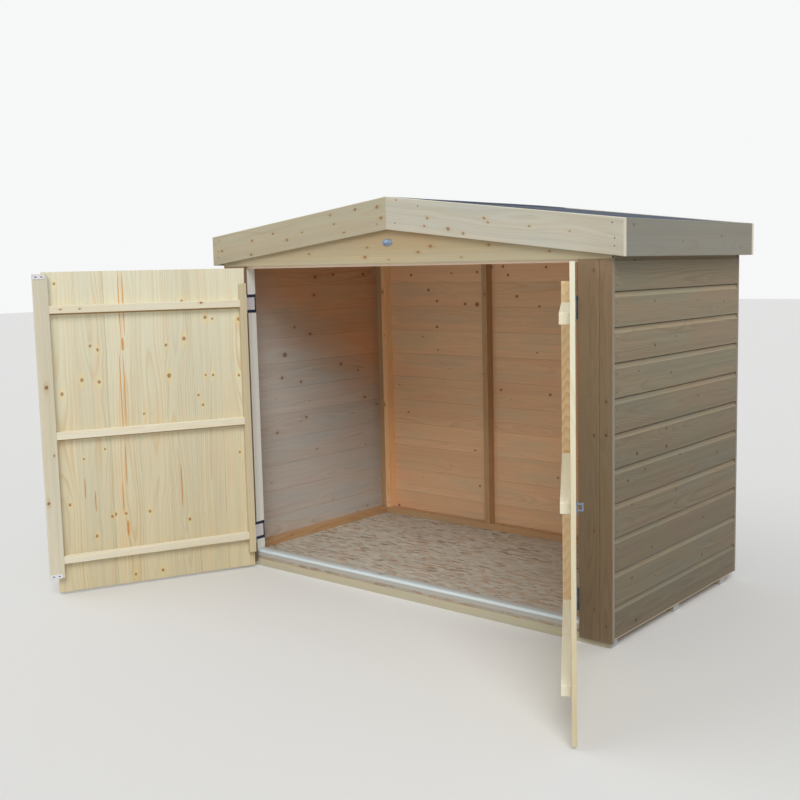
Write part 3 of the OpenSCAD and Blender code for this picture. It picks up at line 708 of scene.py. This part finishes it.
# the walls' boards, with knots as place along the wall, height and radius
sideTop = roofUnder(shed.halfWidth) - shed.belowPanel
sideWall = Kit(along=(0, 1, 0), length=2 * innerY, top=sideTop, courses=12, knotSize=1.0, underRoof=())
walls = Kit(
    Left=Kit(
        sideWall, place=(-innerX, 0.0), outward=(-1, 0, 0), wood="leftCladdingWood", knotSize=1.3,
        knots=inMetres([
            (31, 1250, 6.5), (152, 1259, 5), (365, 1257, 6), (20, 1165, 5), (-14, 983, 5.5), (-113, 1021, 4),
            (189, 824, 6), (-202, 793, 5), (-83, 763, 5), (-179, 897, 8), (221, 738, 5), (309, 784, 3.5)])),
    Right=Kit(
        sideWall, place=(innerX, 0.0), outward=(1, 0, 0), wood="claddingWood",
        knots=inMetres([
            (-211, 1159, 4), (-209, 1005, 5), (-86, 899, 4.5), (-325, 925, 3), (-44, 1026, 3.5),
            (-119, 702, 4.5), (-118, 638, 6.5), (-338, 645, 6.5), (-10, 593, 4.5), (312, 552, 4.5),
            (-280, 582, 5), (-400, 562, 5), (-40, 469, 4), (-45, 419, 4), (-372, 475, 3.5), (-226, 294, 4),
            (185, 171, 5.5), (191, 319, 4.5), (-371, 218, 4.5), (-342, 61, 6), (-202, 187, 4),
            (122, 1148, 3), (362, 1135, 3.5), (-355, 1298, 4), (137, 794, 4)])),
    Back=Kit(
        place=(0.0, innerY), along=(1, 0, 0), outward=(0, 1, 0), length=1.8, top=underRidge - 0.0015,
        courses=13, wood="backCladdingWood", knotSize=1.0, underRoof=(10, 11, 12),
        knots=inMetres([
            (-731, 1248, 6), (-622, 1174, 7), (-570, 1121, 6), (-573, 995, 6), (-400, 1108, 7),
            (-329, 1106, 10), (-326, 1258, 6), (-245, 1280, 6), (-178, 1282, 6), (-150, 1243, 6),
            (-102, 1145, 7), (56, 1276, 5), (-480, 1255, 4), (20, 1100, 5)])),
)
for label, wall in walls.items():
    stack = newStack()
    half = wall.length / 2
    for i in range(wall.courses):
        foot = shed.foot + i * shed.course
        first, last = i == 0, i == wall.courses - 1
        outline = shiplapOutline(first, last)
        outline[:, 0] = np.minimum(outline[:, 0] + foot, wall.top) - foot
        own = [(a, z - foot, r * wall.knotSize) for a, z, r in wall.knots if foot < z < foot + shed.course]

        # the top boards of the back wall end where the roof panels lie on them
        def underRoof(alongs, acrosses):
            reach = roofReach(acrosses + foot, half)
            return np.clip(alongs, -reach, reach)

        addBoard(stack, outline, wall.length, (*wall.place, foot), [wall.along, (0, 0, 1), wall.outward],
                 start=-half, limit=underRoof if i in wall.underRoof else None, knots=own or "chance",
                 tinted=lambda v: np.clip(1.0 - v[:, 2] / cladding.innerMark, 0, 1), soft=cladding.soft,
                 shade=lambda v: courseShade(v, first))
    finishStack("cladding" + label + "Boards", stack, wall.wood, "cladding_" + label.lower())
print("cladding made")

front = Kit(
    open=0.820, trimEdge=0.900, foot=0.020, gable=1.304, lintel=1.294,
    boardKnots=inMetres([(1268, 3.5), (724, 4), (129, 3), (400, 2.5)]), boardKnotsAt=(0.02, 0.06),
    trimKnots=inMetres([(839, 4), (728, 4.5), (80, 3)]), trimKnotsAt=(0.025, 0.025),
    gableArris=0.0012, gablePith=(-0.05, 0.03),
    gableKnots=inMetres([
        (200, 59, 5.5), (141, 39, 5), (340, 16, 3.5), (-4, 14, 3), (461, 57, 4.5), (-124, 25, 6),
        (-112, 62, 4), (-427, 44, 4), (711, 29, 3.5)]),
)
frontY = (-shed.halfDepth, -innerY)
frontZ = (front.foot, front.gable)


# two uprights, one on each side of the middle, between two places on each axis; marked paints the edge that
# lies farthest out lighter than the front face, as painted light, and knots are heights and radii at one
# place across for each side
def addPair(name, x, y, z, finish, node, radius=0.002, knots=None, knotsAt=(0.0, 0.0), marked=False):
    stack = newStack()
    for side, s in sides:
        more = {}
        if knots:
            more["knots"] = [(height - z[0], knotsAt[s > 0], r) for height, r in knots]
        if marked:
            more["tinted"] = near(1, abs(x[1] - x[0]) if s > 0 else 0.0)
        addTimber(stack, (s * x[0], y[0], z[0]), (s * x[1], y[1], z[1]), "z", radius, **more)
    finishStack(name, stack, finish, node)


addPair("frontSideBoards", (front.open, front.trimEdge - hair), frontY, frontZ, "trimWood", "front_boards",
        0.0015, front.boardKnots, front.boardKnotsAt)
addPair("frontCornerTrims", (front.trimEdge + hair, shed.halfWidth), frontY, frontZ, "trimWood",
        "front_trims", 0.002, front.trimKnots, front.trimKnotsAt, marked=True)


# the gable board runs from side to side; above its shoulders each row of points is drawn in to the roof line
# by the ratio reach(z) / halfWidth
def gableLimit(alongs, acrosses):
    return alongs * roofReach(acrosses + front.gable, shed.halfWidth) / shed.halfWidth


stack = newStack()
shoulder = roofUnder(shed.halfWidth) - front.gable
gableOutline = np.insert(softBox(underRidge - front.gable, shed.board, front.gableArris), (4, 12),
                         [(shoulder, 0.0), (shoulder, shed.board)], axis=0)
addBoard(stack, gableOutline[::-1], 2 * shed.halfWidth, (0, -shed.halfDepth, front.gable),
         [(1, 0, 0), (0, 0, 1), (0, 1, 0)], start=-shed.halfWidth, limit=gableLimit, knots=front.gableKnots,
         pith=front.gablePith)
finishStack("frontGableBoard", stack, "gableWood", "gable_board_front")
addPair("rearCornerTrims", (shed.halfWidth, front.trimEdge), (innerY, shed.halfDepth),
        (shed.foot, roofUnder(shed.halfWidth)), "trimWood", "rear_trims", marked=True)

# a painted highlight: the sill's upper front edge is painted paler and bluer, as where the sky light falls
# on it
sill = Kit(wornFrom=0.0185, wornStep=0.001, soft=0.002)
stack = newStack()
wearAndHighlight = [(0, sill.wornFrom), (0, sill.wornFrom - sill.wornStep)]
sillOutline = np.insert(softBox(shed.wide, shed.thin, sill.soft), 0, wearAndHighlight, axis=0)
addBoard(stack, sillOutline, 2 * shed.frameX, (-shed.frameX, -innerY, shed.floorTop), np.eye(3),
         soft=sill.soft,
         tinted=lambda v: (v[:, 1] < sill.soft + hair / 2) & (v[:, 2] > sill.wornFrom - sill.wornStep / 2))
finishStack("sillRail", stack, "sillWood", "front_sill")
addPair("openingPosts", (front.open, front.open + shed.thin), (-innerY, -shed.frameY),
        (shed.railTop, front.lintel), "frameWood", "front_posts")
stack = newStack()
addTimber(stack, (-shed.frameX, -innerY, front.lintel),
          (shed.frameX, -shed.frameY, front.lintel + shed.thin), "x", 0.002)
finishStack("lintelRail", stack, "lintelWood", "front_lintel")


# the axes of a board along y whose outline is (z, x)
acrossX = [(0, 1, 0), (0, 0, 1), (1, 0, 0)]


# a timber of the side walls whose top follows the roof: the outline is (z, x) with a sloping top and is
# carried along y; with a foot it is a stud and its grain runs upright
def slopedTimber(stack, y0, y1, s, foot=None, drop=0.0):
    x0, x1 = s * shed.frameX, s * innerX
    top = [roofUnder(x) - drop for x in (x0, x1)]
    low = [z - shed.thin for z in top] if foot is None else [foot, foot]
    outline = softOutline([(low[0], x0), (low[1], x1), (top[1], x1), (top[0], x0)])
    addBoard(stack, forward(outline), y1 - y0, (0, y0, 0), acrossX,
             order=(0, 1, 2) if foot is None else (1, 0, 2))


for side, s in sides:
    stack = newStack()
    for y in (-innerY, innerY - shed.thin):
        slopedTimber(stack, y, y + shed.thin, s, shed.railTop, shed.thin)
    finishStack("studs" + side, stack, "insideWood", "studs_" + side.lower())
    stack = newStack()
    slopedTimber(stack, -innerY, innerY, s)
    addTimber(stack, (s * shed.frameX, -innerY, shed.floorTop), (s * innerX, innerY, shed.railTop), "y")
    finishStack("rails" + side, stack, "insideWood", "rails_" + side.lower())

backWall = Kit(railFoot=1.370, studX=(-0.878, -0.256, 0.256, 0.878), cornerLit=(0.8, 0.0, 0.0, 0.8))
stack = newStack()
for x, lit in zip(backWall.studX, backWall.cornerLit):
    addTimber(stack, (x - shed.thin / 2, shed.frameY, shed.railTop),
              (x + shed.thin / 2, innerY, backWall.railFoot), "z", shade=lit)
finishStack("studsBack", stack, "insideWood", "studs_back")
stack = newStack()
for foot in (shed.floorTop, backWall.railFoot):
    addTimber(stack, (-shed.frameX, shed.frameY, foot), (shed.frameX, innerY, foot + shed.thin), "x")
finishStack("railsBack", stack, "insideWood", "rails_back")


# the axes of a board that runs down the roof on one side
def rafterAxes(s):
    return [(s, 0, -roofSlope), (0, 0, 1), (0, 1, 0)]


# two rafters that follow the roof's slope, and the king post between them under the ridge beam
def gableFrame(label, y0, foot):
    stack = newStack()
    inner = shed.thin / 2
    for side, s in sides:
        origin = (s * inner, y0, underRidge - roofSlope * inner - shed.thin)
        addBoard(stack, softBox(shed.thin, shed.wide), shed.frameX - inner, origin, rafterAxes(s))
    addTimber(stack, (-inner, y0, foot), (inner, y0 + shed.wide, underRidge - shed.ridgeHigh), "z")
    finishStack("gableFrame" + label, stack, "insideWood", "gable_frame_" + label.lower())


gableFrame("Front", -innerY, front.lintel + shed.thin)
gableFrame("Back", shed.frameY, backWall.railFoot + shed.thin)
print("frame timbers made")

floor = Kit(bearerWide=0.044, bearerHigh=0.033, arris=0.0025, rows=(-0.468, 0.0, 0.410))
stack = newStack()
for y in floor.rows:
    low = (-innerX, y - floor.bearerWide / 2, 0.0)
    addTimber(stack, low, (innerX, y + floor.bearerWide / 2, floor.bearerHigh), "x", floor.arris,
              tinted=near(0, 0.0, 2 * innerX))
finishStack("floorBearers", stack, "bearerWood", "floor_bearers")

# knots as place along the board, drop from its top edge (height on the fascia) and radius
roof = Kit(
    front=-0.520, back=0.520, board=0.016, high=0.122, litEdge=0.003, litStep=0.0005, endLit=0.0009,
    endCut=0.002, endSoft=0.0008, lit=0.32, arris=0.002, ridgeArris=0.0012, feltDrop=0.002,
    feltThick=0.0025, feltWave=0.0008, capWide=0.15, capWave=0.0006,
    rightKnots=inMetres([
        (53, 10, 3), (199, 64, 4.5), (185, 94, 4), (295, 95, 6), (362, 105, 4.5), (454, 44, 4),
        (470, 58, 3.5), (641, 57, 3.5), (800, 60, 3)]),
    leftKnots=inMetres([
        (940, 67, 5), (746, 53, 5), (755, 109, 5.5), (617, 44, 4.5), (535, 81, 5), (447, 64, 3.5),
        (288, 21, 4.5), (268, 59, 3.5), (216, 100, 3.5), (155, 22, 4.5), (42, 32, 6), (23, 76, 5.5)]),
    fasciaKnots=inMetres([(-455, 100, 4), (-100, 50, 3), (220, 70, 3.5), (400, 30, 2.5)]),
)
litFrom = roof.high - roof.litEdge
bargeOutline = np.insert(softBox(roof.high, roof.board, roof.arris), 4, (litFrom, 0.0), axis=0)


# the upper edge and the free end of a bargeboard catch more light
def bargeShade(v):
    return roof.lit * ((v[:, 1] > litFrom + roof.litStep) | (v[:, 0] > shed.halfRoof - roof.endLit))


for label, y in (("Front", roof.front), ("Back", roof.back - roof.board)):
    for side, s in sides:
        stack = newStack()
        own = [(a, roof.high - drop, r) for a, drop, r in roof[side.lower() + "Knots"]]
        addBoard(stack, bargeOutline, shed.halfRoof, (0, y, shed.ridgeTop - roof.high), rafterAxes(s),
                 soft=roof.endSoft, knots=own if label == "Front" else "chance", tinted=float(s < 0),
                 shade=bargeShade, cuts=[shed.halfRoof - roof.endCut])
        node = f"bargeboard_{label.lower()}_{side.lower()}"
        finishStack("bargeboard" + label + side, stack, "bargeWood", node)
inner = shed.halfRoof - roof.board
eaves = shed.eavesTop - roof.high
for side, s in sides:
    stack = newStack()
    corners = [(0, 0), (float(roofLine(inner)) - eaves, 0), (roof.high, roof.board), (0, roof.board)]
    run = roof.back - roof.front - 2 * roof.board
    own = [(a + run / 2, z, r) for a, z, r in roof.fasciaKnots]
    addBoard(stack, softOutline(corners, roof.arris), run, (s * inner, roof.front + roof.board, eaves),
             [(0, 1, 0), (0, 0, 1), (s, 0, 0)], knots=own if s > 0 else "chance")
    finishStack("fascia" + side, stack, "fasciaWood", "fascia_" + side.lower())
stack = newStack()
ridgeX = shed.thin / 2
ridgeFoot, ridgeSide = underRidge - shed.ridgeHigh, underRidge - roofSlope * ridgeX
corners = [(ridgeFoot, -ridgeX), (ridgeFoot, ridgeX), (ridgeSide, ridgeX), (underRidge, 0),
           (ridgeSide, -ridgeX)]
addBoard(stack, forward(softOutline(corners, roof.ridgeArris)), 2 * innerY, (0, -innerY, 0), acrossX)
finishStack("ridgeBeam", stack, "insideWood", "ridge_beam")


# a felt sheet as a surface of two parameters: z follows the roof line less the drop, with shallow waves
# made of two products of sines; the same grid, lower by the thickness, closes it underneath
def feltSheet(label, x0, x1, drop, thick, wave, nx=60, ny=50):
    u = np.linspace(x0, x1, nx)
    v = np.linspace(roof.front + roof.board, roof.back - roof.board, ny)
    x, y = np.meshgrid(u, v, indexing="ij")
    small, large = np.sin(23 * x + 2) * np.sin(17 * y), np.sin(9 * x + 4 * y) * np.sin(13 * y - 5 * x)
    ripple = wave * (0.5 + 0.25 * large + 0.25 * small)
    sheets = [np.stack([x, y, roofLine(x) - drop - deep], axis=-1) for deep in (ripple, thick)]
    index = np.arange(nx * ny).reshape(nx, ny)
    quads = np.stack([index[:-1, :-1], index[1:, :-1], index[1:, 1:], index[:-1, 1:]], axis=-1)
    quads = quads.reshape(-1, 4)
    rim = np.concatenate([index[:, 0], index[-1, 1:], index[-2::-1, -1], index[0, -2:0:-1]])
    after = np.roll(rim, -1)
    total = nx * ny
    edges = np.stack([rim + total, after + total, after, rim], axis=-1)
    faces = quads.tolist() + (quads[:, ::-1] + total).tolist() + edges.tolist()
    addPiece("felt" + label, np.reshape(sheets, (-1, 3)), faces, "roofFelt", "felt_" + label.lower())


feltSheet("Left", -inner, 0.0, roof.feltDrop, roof.feltThick, roof.feltWave)
feltSheet("Right", 0.0, inner, roof.feltDrop, roof.feltThick, roof.feltWave)
feltSheet("Ridge", -roof.capWide, roof.capWide, 0.0, roof.feltDrop, roof.capWave, nx=41)
print("roof made")

# the left door's knots are place from the pin, height and radius, and its resin veins are place from the
# pin, lower and upper height
door = Kit(
    pivotX=0.816, pivotY=-0.513, leftOpen=115.0, rightOpen=121.5, gap=0.004, far=0.813, foot=0.012,
    head=1.297, boards=7, joint=0.0001, arris=0.0007, ledgeTops=(0.165, 0.666, 1.165), ledgeHigh=0.030,
    deep=0.028, battenHead=1.234, battenRound=0.011, framingFoot=0.0775, framingHead=1.2885, stile=0.056,
    stileOver=0.036, ledgeStop=0.038, standOff=0.005, resinBoard=4, resinPith=(0.012, 0.020),
    stileShade=-0.12, ledgeArris=0.002, battenSoft=0.0015, battenPith=(0.05, 0.06), stileArris=0.0015,
    otherResin=0.35, lowestCut=0.01,
    leftKnots=inMetres([
        (36, 1084, 5.5), (43, 846, 4.5), (52, 514, 4.5), (147, 1089, 4.5), (153, 853, 4.5), (177, 1096, 6),
        (185, 854, 4), (202, 731, 4.5), (219, 773, 4), (269, 1012, 7), (271, 1167, 5), (279, 249, 5.5),
        (337, 862, 7.5), (344, 989, 4.5), (401, 46, 5.5), (442, 303, 5), (446, 711, 4), (512, 45, 5.5),
        (594, 300, 5), (615, 983, 5), (617, 854, 5.5), (644, 1000, 4.5), (659, 226, 5.5), (682, 866, 6.5),
        (756, 367, 5), (761, 815, 6), (766, 1250, 4.5), (579, 308, 5), (538, 305, 4.5), (692, 547, 3.5),
        (608, 580, 3.5)]),
    leftVeins=inMetres([
        (523, 1030, 1300), (507, 1030, 1300), (517, 972, 1030), (533, 600, 968), (519, 660, 972),
        (529, 420, 600), (534, 210, 277), (548, 300, 442), (305, 300, 492), (655, 325, 417),
        (580, 1213, 1281), (693, 380, 470)]),
)
doorBack = door.gap + shed.board
doorDeepest = doorBack + door.deep
boardWide = (door.far - door.gap) / door.boards
up = np.array([0.0, 0.0, 1.0])


# a leaf's own axes at rest: u runs from the pin to the free edge, w from the outer face inwards
def leafAxes(side):
    turn = math.radians(-door.leftOpen if side == "Left" else door.rightOpen)
    s = 1 if side == "Left" else -1
    u = np.array([s * math.cos(turn), s * math.sin(turn), 0.0])
    w = np.array([-math.sin(turn), math.cos(turn), 0.0])
    return np.array([-s * door.pivotX, door.pivotY, 0.0]), u, w


# names a door's piece for its side and lets it ride on that door
def finishDoorPart(side, part, stack, finish):
    node = f"door_{side.lower()}_{part.lower()}"
    finishStack("door" + side + part, stack, finish, node, side.lower() + "_door")


for side, s in sides:
    onLeft = s < 0
    origin, u, w = leafAxes(side)
    stack = newStack()
    for i in range(door.boards):
        u0 = door.gap + i * boardWide
        u1 = u0 + boardWide
        low = u0 + (0.0 if i == 0 else door.joint)
        high = u1 - (0.0 if i == door.boards - 1 else door.joint)
        outline = [(low, door.gap), (high, door.gap), (high, doorBack), (low, doorBack)]
        resinous = onLeft and i == door.resinBoard
        more = {"resin": 1.0 if resinous else dice.uniform(0, door.otherResin)}
        more["pith"] = door.resinPith if resinous else None
        if onLeft:
            foot = door.foot
            more["knots"] = [(z - foot, a, r) for a, z, r in door.leftKnots if u0 < a < u1]
            veins = [(a, z0 - foot, z1 - foot) for a, z0, z1 in door.leftVeins if u0 < a < u1]
            ends = {end for vein in veins for end in vein[1:] if end < door.head - foot - door.lowestCut}
            more |= {"veins": veins, "cuts": sorted(ends)}
        addBoard(stack, softOutline(outline, door.arris, 2), door.head - door.foot, origin + up * door.foot,
                 [up, u, w], tinted=near(2, doorBack), **more)
    finishDoorPart(side, "Boards", stack, "doorWood")
    stack = newStack()
    near0 = door.gap + shed.thin
    free = door.far + (door.stileOver - door.stile if onLeft else -door.ledgeStop)
    for top in door.ledgeTops:
        place = origin + u * near0 + w * doorBack + up * (top - door.ledgeHigh)
        # the top faces are marked for a painted light from above
        addBoard(stack, softBox(door.ledgeHigh, door.deep, door.ledgeArris), free - near0, place, [u, up, w],
                 tinted=near(1, door.ledgeHigh))
    finishDoorPart(side, "Ledges", stack, "ledgeWood")
    # the batten's outline (height, place) has a rounded upper corner and is carried through its depth
    stack = newStack()
    a = np.radians(np.arange(0, 91, 15))
    corner = np.stack([door.battenHead - door.battenRound * (1 - np.sin(a)),
                       near0 - door.battenRound * (1 - np.cos(a))], axis=1)
    outline = [(door.framingFoot, door.gap), (door.framingFoot, near0), *corner, (door.battenHead, door.gap)]
    addBoard(stack, forward(np.array(outline)), door.deep, origin + w * doorBack, [w, up, u],
             order=(1, 2, 0), soft=door.battenSoft, pith=door.battenPith, knots=[])
    finishDoorPart(side, "Batten", stack, "leftBattenWood" if onLeft else "battenWood")
origin, u, w = leafAxes("Left")
stack = newStack()
stileFrom = door.far + door.stileOver - door.stile
stileTo = door.far + door.stileOver
stileOutline = [(stileFrom, doorBack), (door.far, doorBack), (door.far, doorBack + door.standOff),
                (stileTo, doorBack + door.standOff), (stileTo, doorDeepest), (stileFrom, doorDeepest)]
addBoard(stack, softOutline(stileOutline, door.stileArris, 2), door.framingHead - door.framingFoot,
         origin + up * door.framingFoot, [up, u, w], shade=door.stileShade)
finishDoorPart("Left", "Stile", stack, "ledgeWood")
print("doors made")

# a nail's rings from the rim to the middle, as shares of its radius and of its height
headShape = [(1.0, -0.6), (1.0, 0.0), (0.82, 0.57), (0.42, 0.91)]
headFoot = -0.6


# low domed heads: on each place rings of radius * share stand at the height high * rise above the surface,
# closed by a point below and a point above
def domes(name, places, outward, sideways, radius, high, finish, bodyName="shed", stretch=1.0, points=10,
          shape=headShape):
    places, n, s = (np.asarray(part, float) for part in (places, outward, sideways))
    turns = np.linspace(0, 2 * np.pi, points, endpoint=False)[:, None]
    circle = np.cos(turns) * s * stretch + np.sin(turns) * np.cross(n, s)
    rings = [circle * radius * share + n * high * rise for share, rise in shape]
    single = np.concatenate(rings + [[n * headFoot * high, n * high]])
    count = len(single)
    j = np.arange(points)
    k = (j + 1) % points
    top = (len(shape) - 1) * points
    under = np.stack([np.full(points, count - 2), k, j], axis=-1)
    above = np.stack([np.full(points, count - 1), top + j, top + k], axis=-1)
    offsets = (np.arange(len(places)) * count)[:, None, None]
    faces = []
    for part in (ringFaces(len(shape), points), under, above):
        faces += (part[None] + offsets).reshape(-1, part.shape[1]).tolist()
    addPiece(name, (places[:, None] + single[None]).reshape(-1, 3), faces, finish, None, bodyName)


# two nails in every course over each stud, and nails at the ends of the roof boards
nails = Kit(
    radius=0.0024, high=0.0005, rows=(0.020, 0.080), below=1.40, studs=(-0.476, 0.476),
    backStuds=(-0.870, -0.256, 0.256, 0.870), bargeRadius=0.0026, frontRadius=0.0014,
    barge=[(0.156, 0.024), (0.957, 0.019), (0.966, 0.067), (0.965, 0.092), (0.045, 0.095)],
    frontX=(0.845, 0.882, 0.925), frontZ=(0.058, 0.40, 0.85, 1.285),
)
courses = shed.foot + shed.course * np.arange(12)
heights = (courses[:, None] + np.array(nails.rows)[None]).ravel()
heights = heights[heights < nails.below]
for side, s in sides:
    places = [(s * shed.halfWidth, y, z) for y in nails.studs for z in heights]
    domes("claddingNails" + side, places, (s, 0, 0), (0, 1, 0), nails.radius, nails.high, "nailSteel")
places = [(x, shed.halfDepth, z) for x in nails.backStuds for z in heights]
domes("claddingNailsBack", places, (0, 1, 0), (1, 0, 0), nails.radius, nails.high, "nailSteel")
for label, y, outward in (("Front", roof.front, -1), ("Back", roof.back, 1)):
    places = [(s * a, y, float(roofLine(a)) - drop) for _, s in sides for a, drop in nails.barge]
    domes("bargeNails" + label, places, (0, outward, 0), (1, 0, 0), nails.bargeRadius, nails.high,
          "blueSteel")
places = [(s * x, -shed.halfDepth, z) for _, s in sides for x in nails.frontX for z in nails.frontZ]
domes("frontBoardNails", places, (0, -1, 0), (1, 0, 0), nails.frontRadius, nails.high, "nailSteel")

# a plain oval disc in the middle of the gable
disc = Kit(
    place=(-0.009, -0.504, 1.382), radius=0.0135, stretch=1.90, high=0.0042, points=40,
    shape=[
        (1.0, -0.4), (1.0, 0.25), (0.97, 0.48), (0.91, 0.52), (0.86, 0.36), (0.80, 0.34), (0.62, 0.70),
        (0.34, 0.93)],
)
domes("gableDisc", [disc.place], (0, -1, 0), (1, 0, 0), disc.radius, disc.high, "greyZinc", "shed",
      disc.stretch, disc.points, disc.shape)

# screw heads in the stile's plates
screws = Kit(
    plateWide=0.048, across=(0.72, 0.28), fromEnd=0.0105, plateThick=0.001, radius=0.0034, high=0.0012,
    stretch=1.3,
)
places = [origin + u * (stileTo - screws.plateWide * share) + w * (doorDeepest + screws.plateThick) + up * z
          for share in screws.across
          for z in (door.framingFoot + screws.fromEnd, door.framingHead - screws.fromEnd)]
domes("stileScrews", places, w, u, screws.radius, screws.high, "blueSteel", "left_door", screws.stretch)

# dark rims round the hinges on the two posts, as painted shadow and painted dark reflection at their edges:
# two bars across each hinge and one along its edge
hinge = Kit(
    mids=(0.155, 1.146), high=0.078, back=-0.449, front=-0.506, rim=0.0125, side=0.006, off=0.0016,
    thick=0.0006, soft=0.0002,
)
stack = newStack()
for side, s in sides:
    face = s * (front.open - hinge.off)
    deep = face - s * hinge.thick
    for mid in hinge.mids:
        low, high = mid - hinge.high / 2, mid + hinge.high / 2
        bars = [(low, low + hinge.rim, hinge.front, "y"), (high - hinge.rim, high, hinge.front, "y"),
                (low, high, hinge.back - hinge.side, "z")]
        for z0, z1, y0, grainAxis in bars:
            addTimber(stack, (face, y0, z0), (deep, hinge.back, z1), grainAxis, hinge.soft, soft=hinge.soft,
                      knots=[])
finishStack("hingeShadowRims", stack, "blueSteel")
print("fittings made")

carried = {
    "strandBoard": ("floor_panel", "roof_panel_left", "roof_panel_right"),
    "zincPlate": ("hinge_plates_left", "door_left_hinges", "door_left_plates"),
    # the right door's hinges, plates and staple take the darker grey zinc: painted shade, a shaded copy of
    # the left's pale zinc
    "greyZinc": ("hinge_plates_right", "door_right_hinges", "door_right_staple"),
}
for finish, nodeNames in carried.items():
    for nodeName in nodeNames:
        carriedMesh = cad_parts[nodeName].data
        carriedMesh.materials.clear()
        carriedMesh.materials.append(finishes[finish][0])
print("carried nodes dressed")

stageLook = Kit(floor=(0.80, 0.80, 0.79), rough=0.9, back=(0.93, 0.935, 0.94), ambient=0.50, size=30.0)
size = stageLook.size
ground = bpy.data.meshes.new("ground")
corners = [(-size, -size, 0), (size, -size, 0), (size, size, 0), (-size, size, 0)]
ground.from_pydata(corners, [], [(0, 1, 2, 3)])
groundMaterial, shader = startMaterial("groundPale")
fill(shader, {"Base Color": stageLook.floor, "Roughness": stageLook.rough})
ground.materials.append(groundMaterial)
groundObject = addObject("ground", ground)

# the world lights at the ambient strength and is seen at full strength
world = bpy.data.worlds.new("studio")
bpy.context.scene.world = world
world.use_nodes = True
tree = current["tree"] = world.node_tree
backdrop = tree.nodes["Background"]
fill(backdrop, {"Color": stageLook.back, "Strength": stageLook.ambient})
bright = addNode("Background", {"Color": stageLook.back, "Strength": 1.0})
rays = addNode("LightPath").outputs
seen = most(most(rays["Is Camera Ray"], rays["Is Glossy Ray"]), rays["Is Transmission Ray"])
mixer = addNode("MixShader", (seen, backdrop.outputs[0], bright.outputs[0]))
fill(tree.nodes["World Output"], {"Surface": mixer.outputs[0]})

lamps = Kit(
    keyLamp=Kit(power=1.6, angle=30.0, toward=(0.62, -0.66, 0.80)),
    fillLamp=Kit(power=0.6, angle=60.0, toward=(-0.70, -0.50, 0.60)),
)
for lampName, lamp in lamps.items():
    data = bpy.data.lights.new(lampName, "SUN")
    data.energy = lamp.power
    data.angle = math.radians(lamp.angle)
    x, y, z = lamp.toward
    addObject(lampName, data).rotation_euler = (math.atan2(math.hypot(x, y), z), 0.0, math.atan2(x, -y))

# the camera that the photo's perspective gives, with its focal length in pixels of an 800 pixel picture
view = Kit(
    focal=1059.4955, picture=800.0, sensor=36.0, turn=38.8834, pitch=6.5572, roll=-1.1224,
    place=(2.6468, -3.5297, 1.2938), shiftX=-0.04338, shiftY=-0.01624,
)
turn, pitch, roll = (math.radians(view[key]) for key in ("turn", "pitch", "roll"))
ahead = np.array([-math.sin(turn) * math.cos(pitch), math.cos(turn) * math.cos(pitch), -math.sin(pitch)])
right = np.array([math.cos(turn), math.sin(turn), 0.0])
above = np.cross(right, ahead)
across = math.cos(roll) * right + math.sin(roll) * above
upright = math.cos(roll) * above - math.sin(roll) * right
axes = np.stack([across, upright, -ahead], axis=1)
cameraData = bpy.data.cameras.new("photoCamera")
cameraData.sensor_width = view.sensor
cameraData.lens = view.focal / view.picture * view.sensor
cameraData.shift_x = view.shiftX
cameraData.shift_y = view.shiftY
camera = addObject("photoCamera", cameraData)
rows = [(*row, place) for row, place in zip(axes.tolist(), view.place)]
camera.matrix_world = Matrix(rows + [(0, 0, 0, 1)])
bpy.context.scene.camera = camera
bpy.context.scene.view_settings.view_transform = "Standard"
print("stage and camera set")
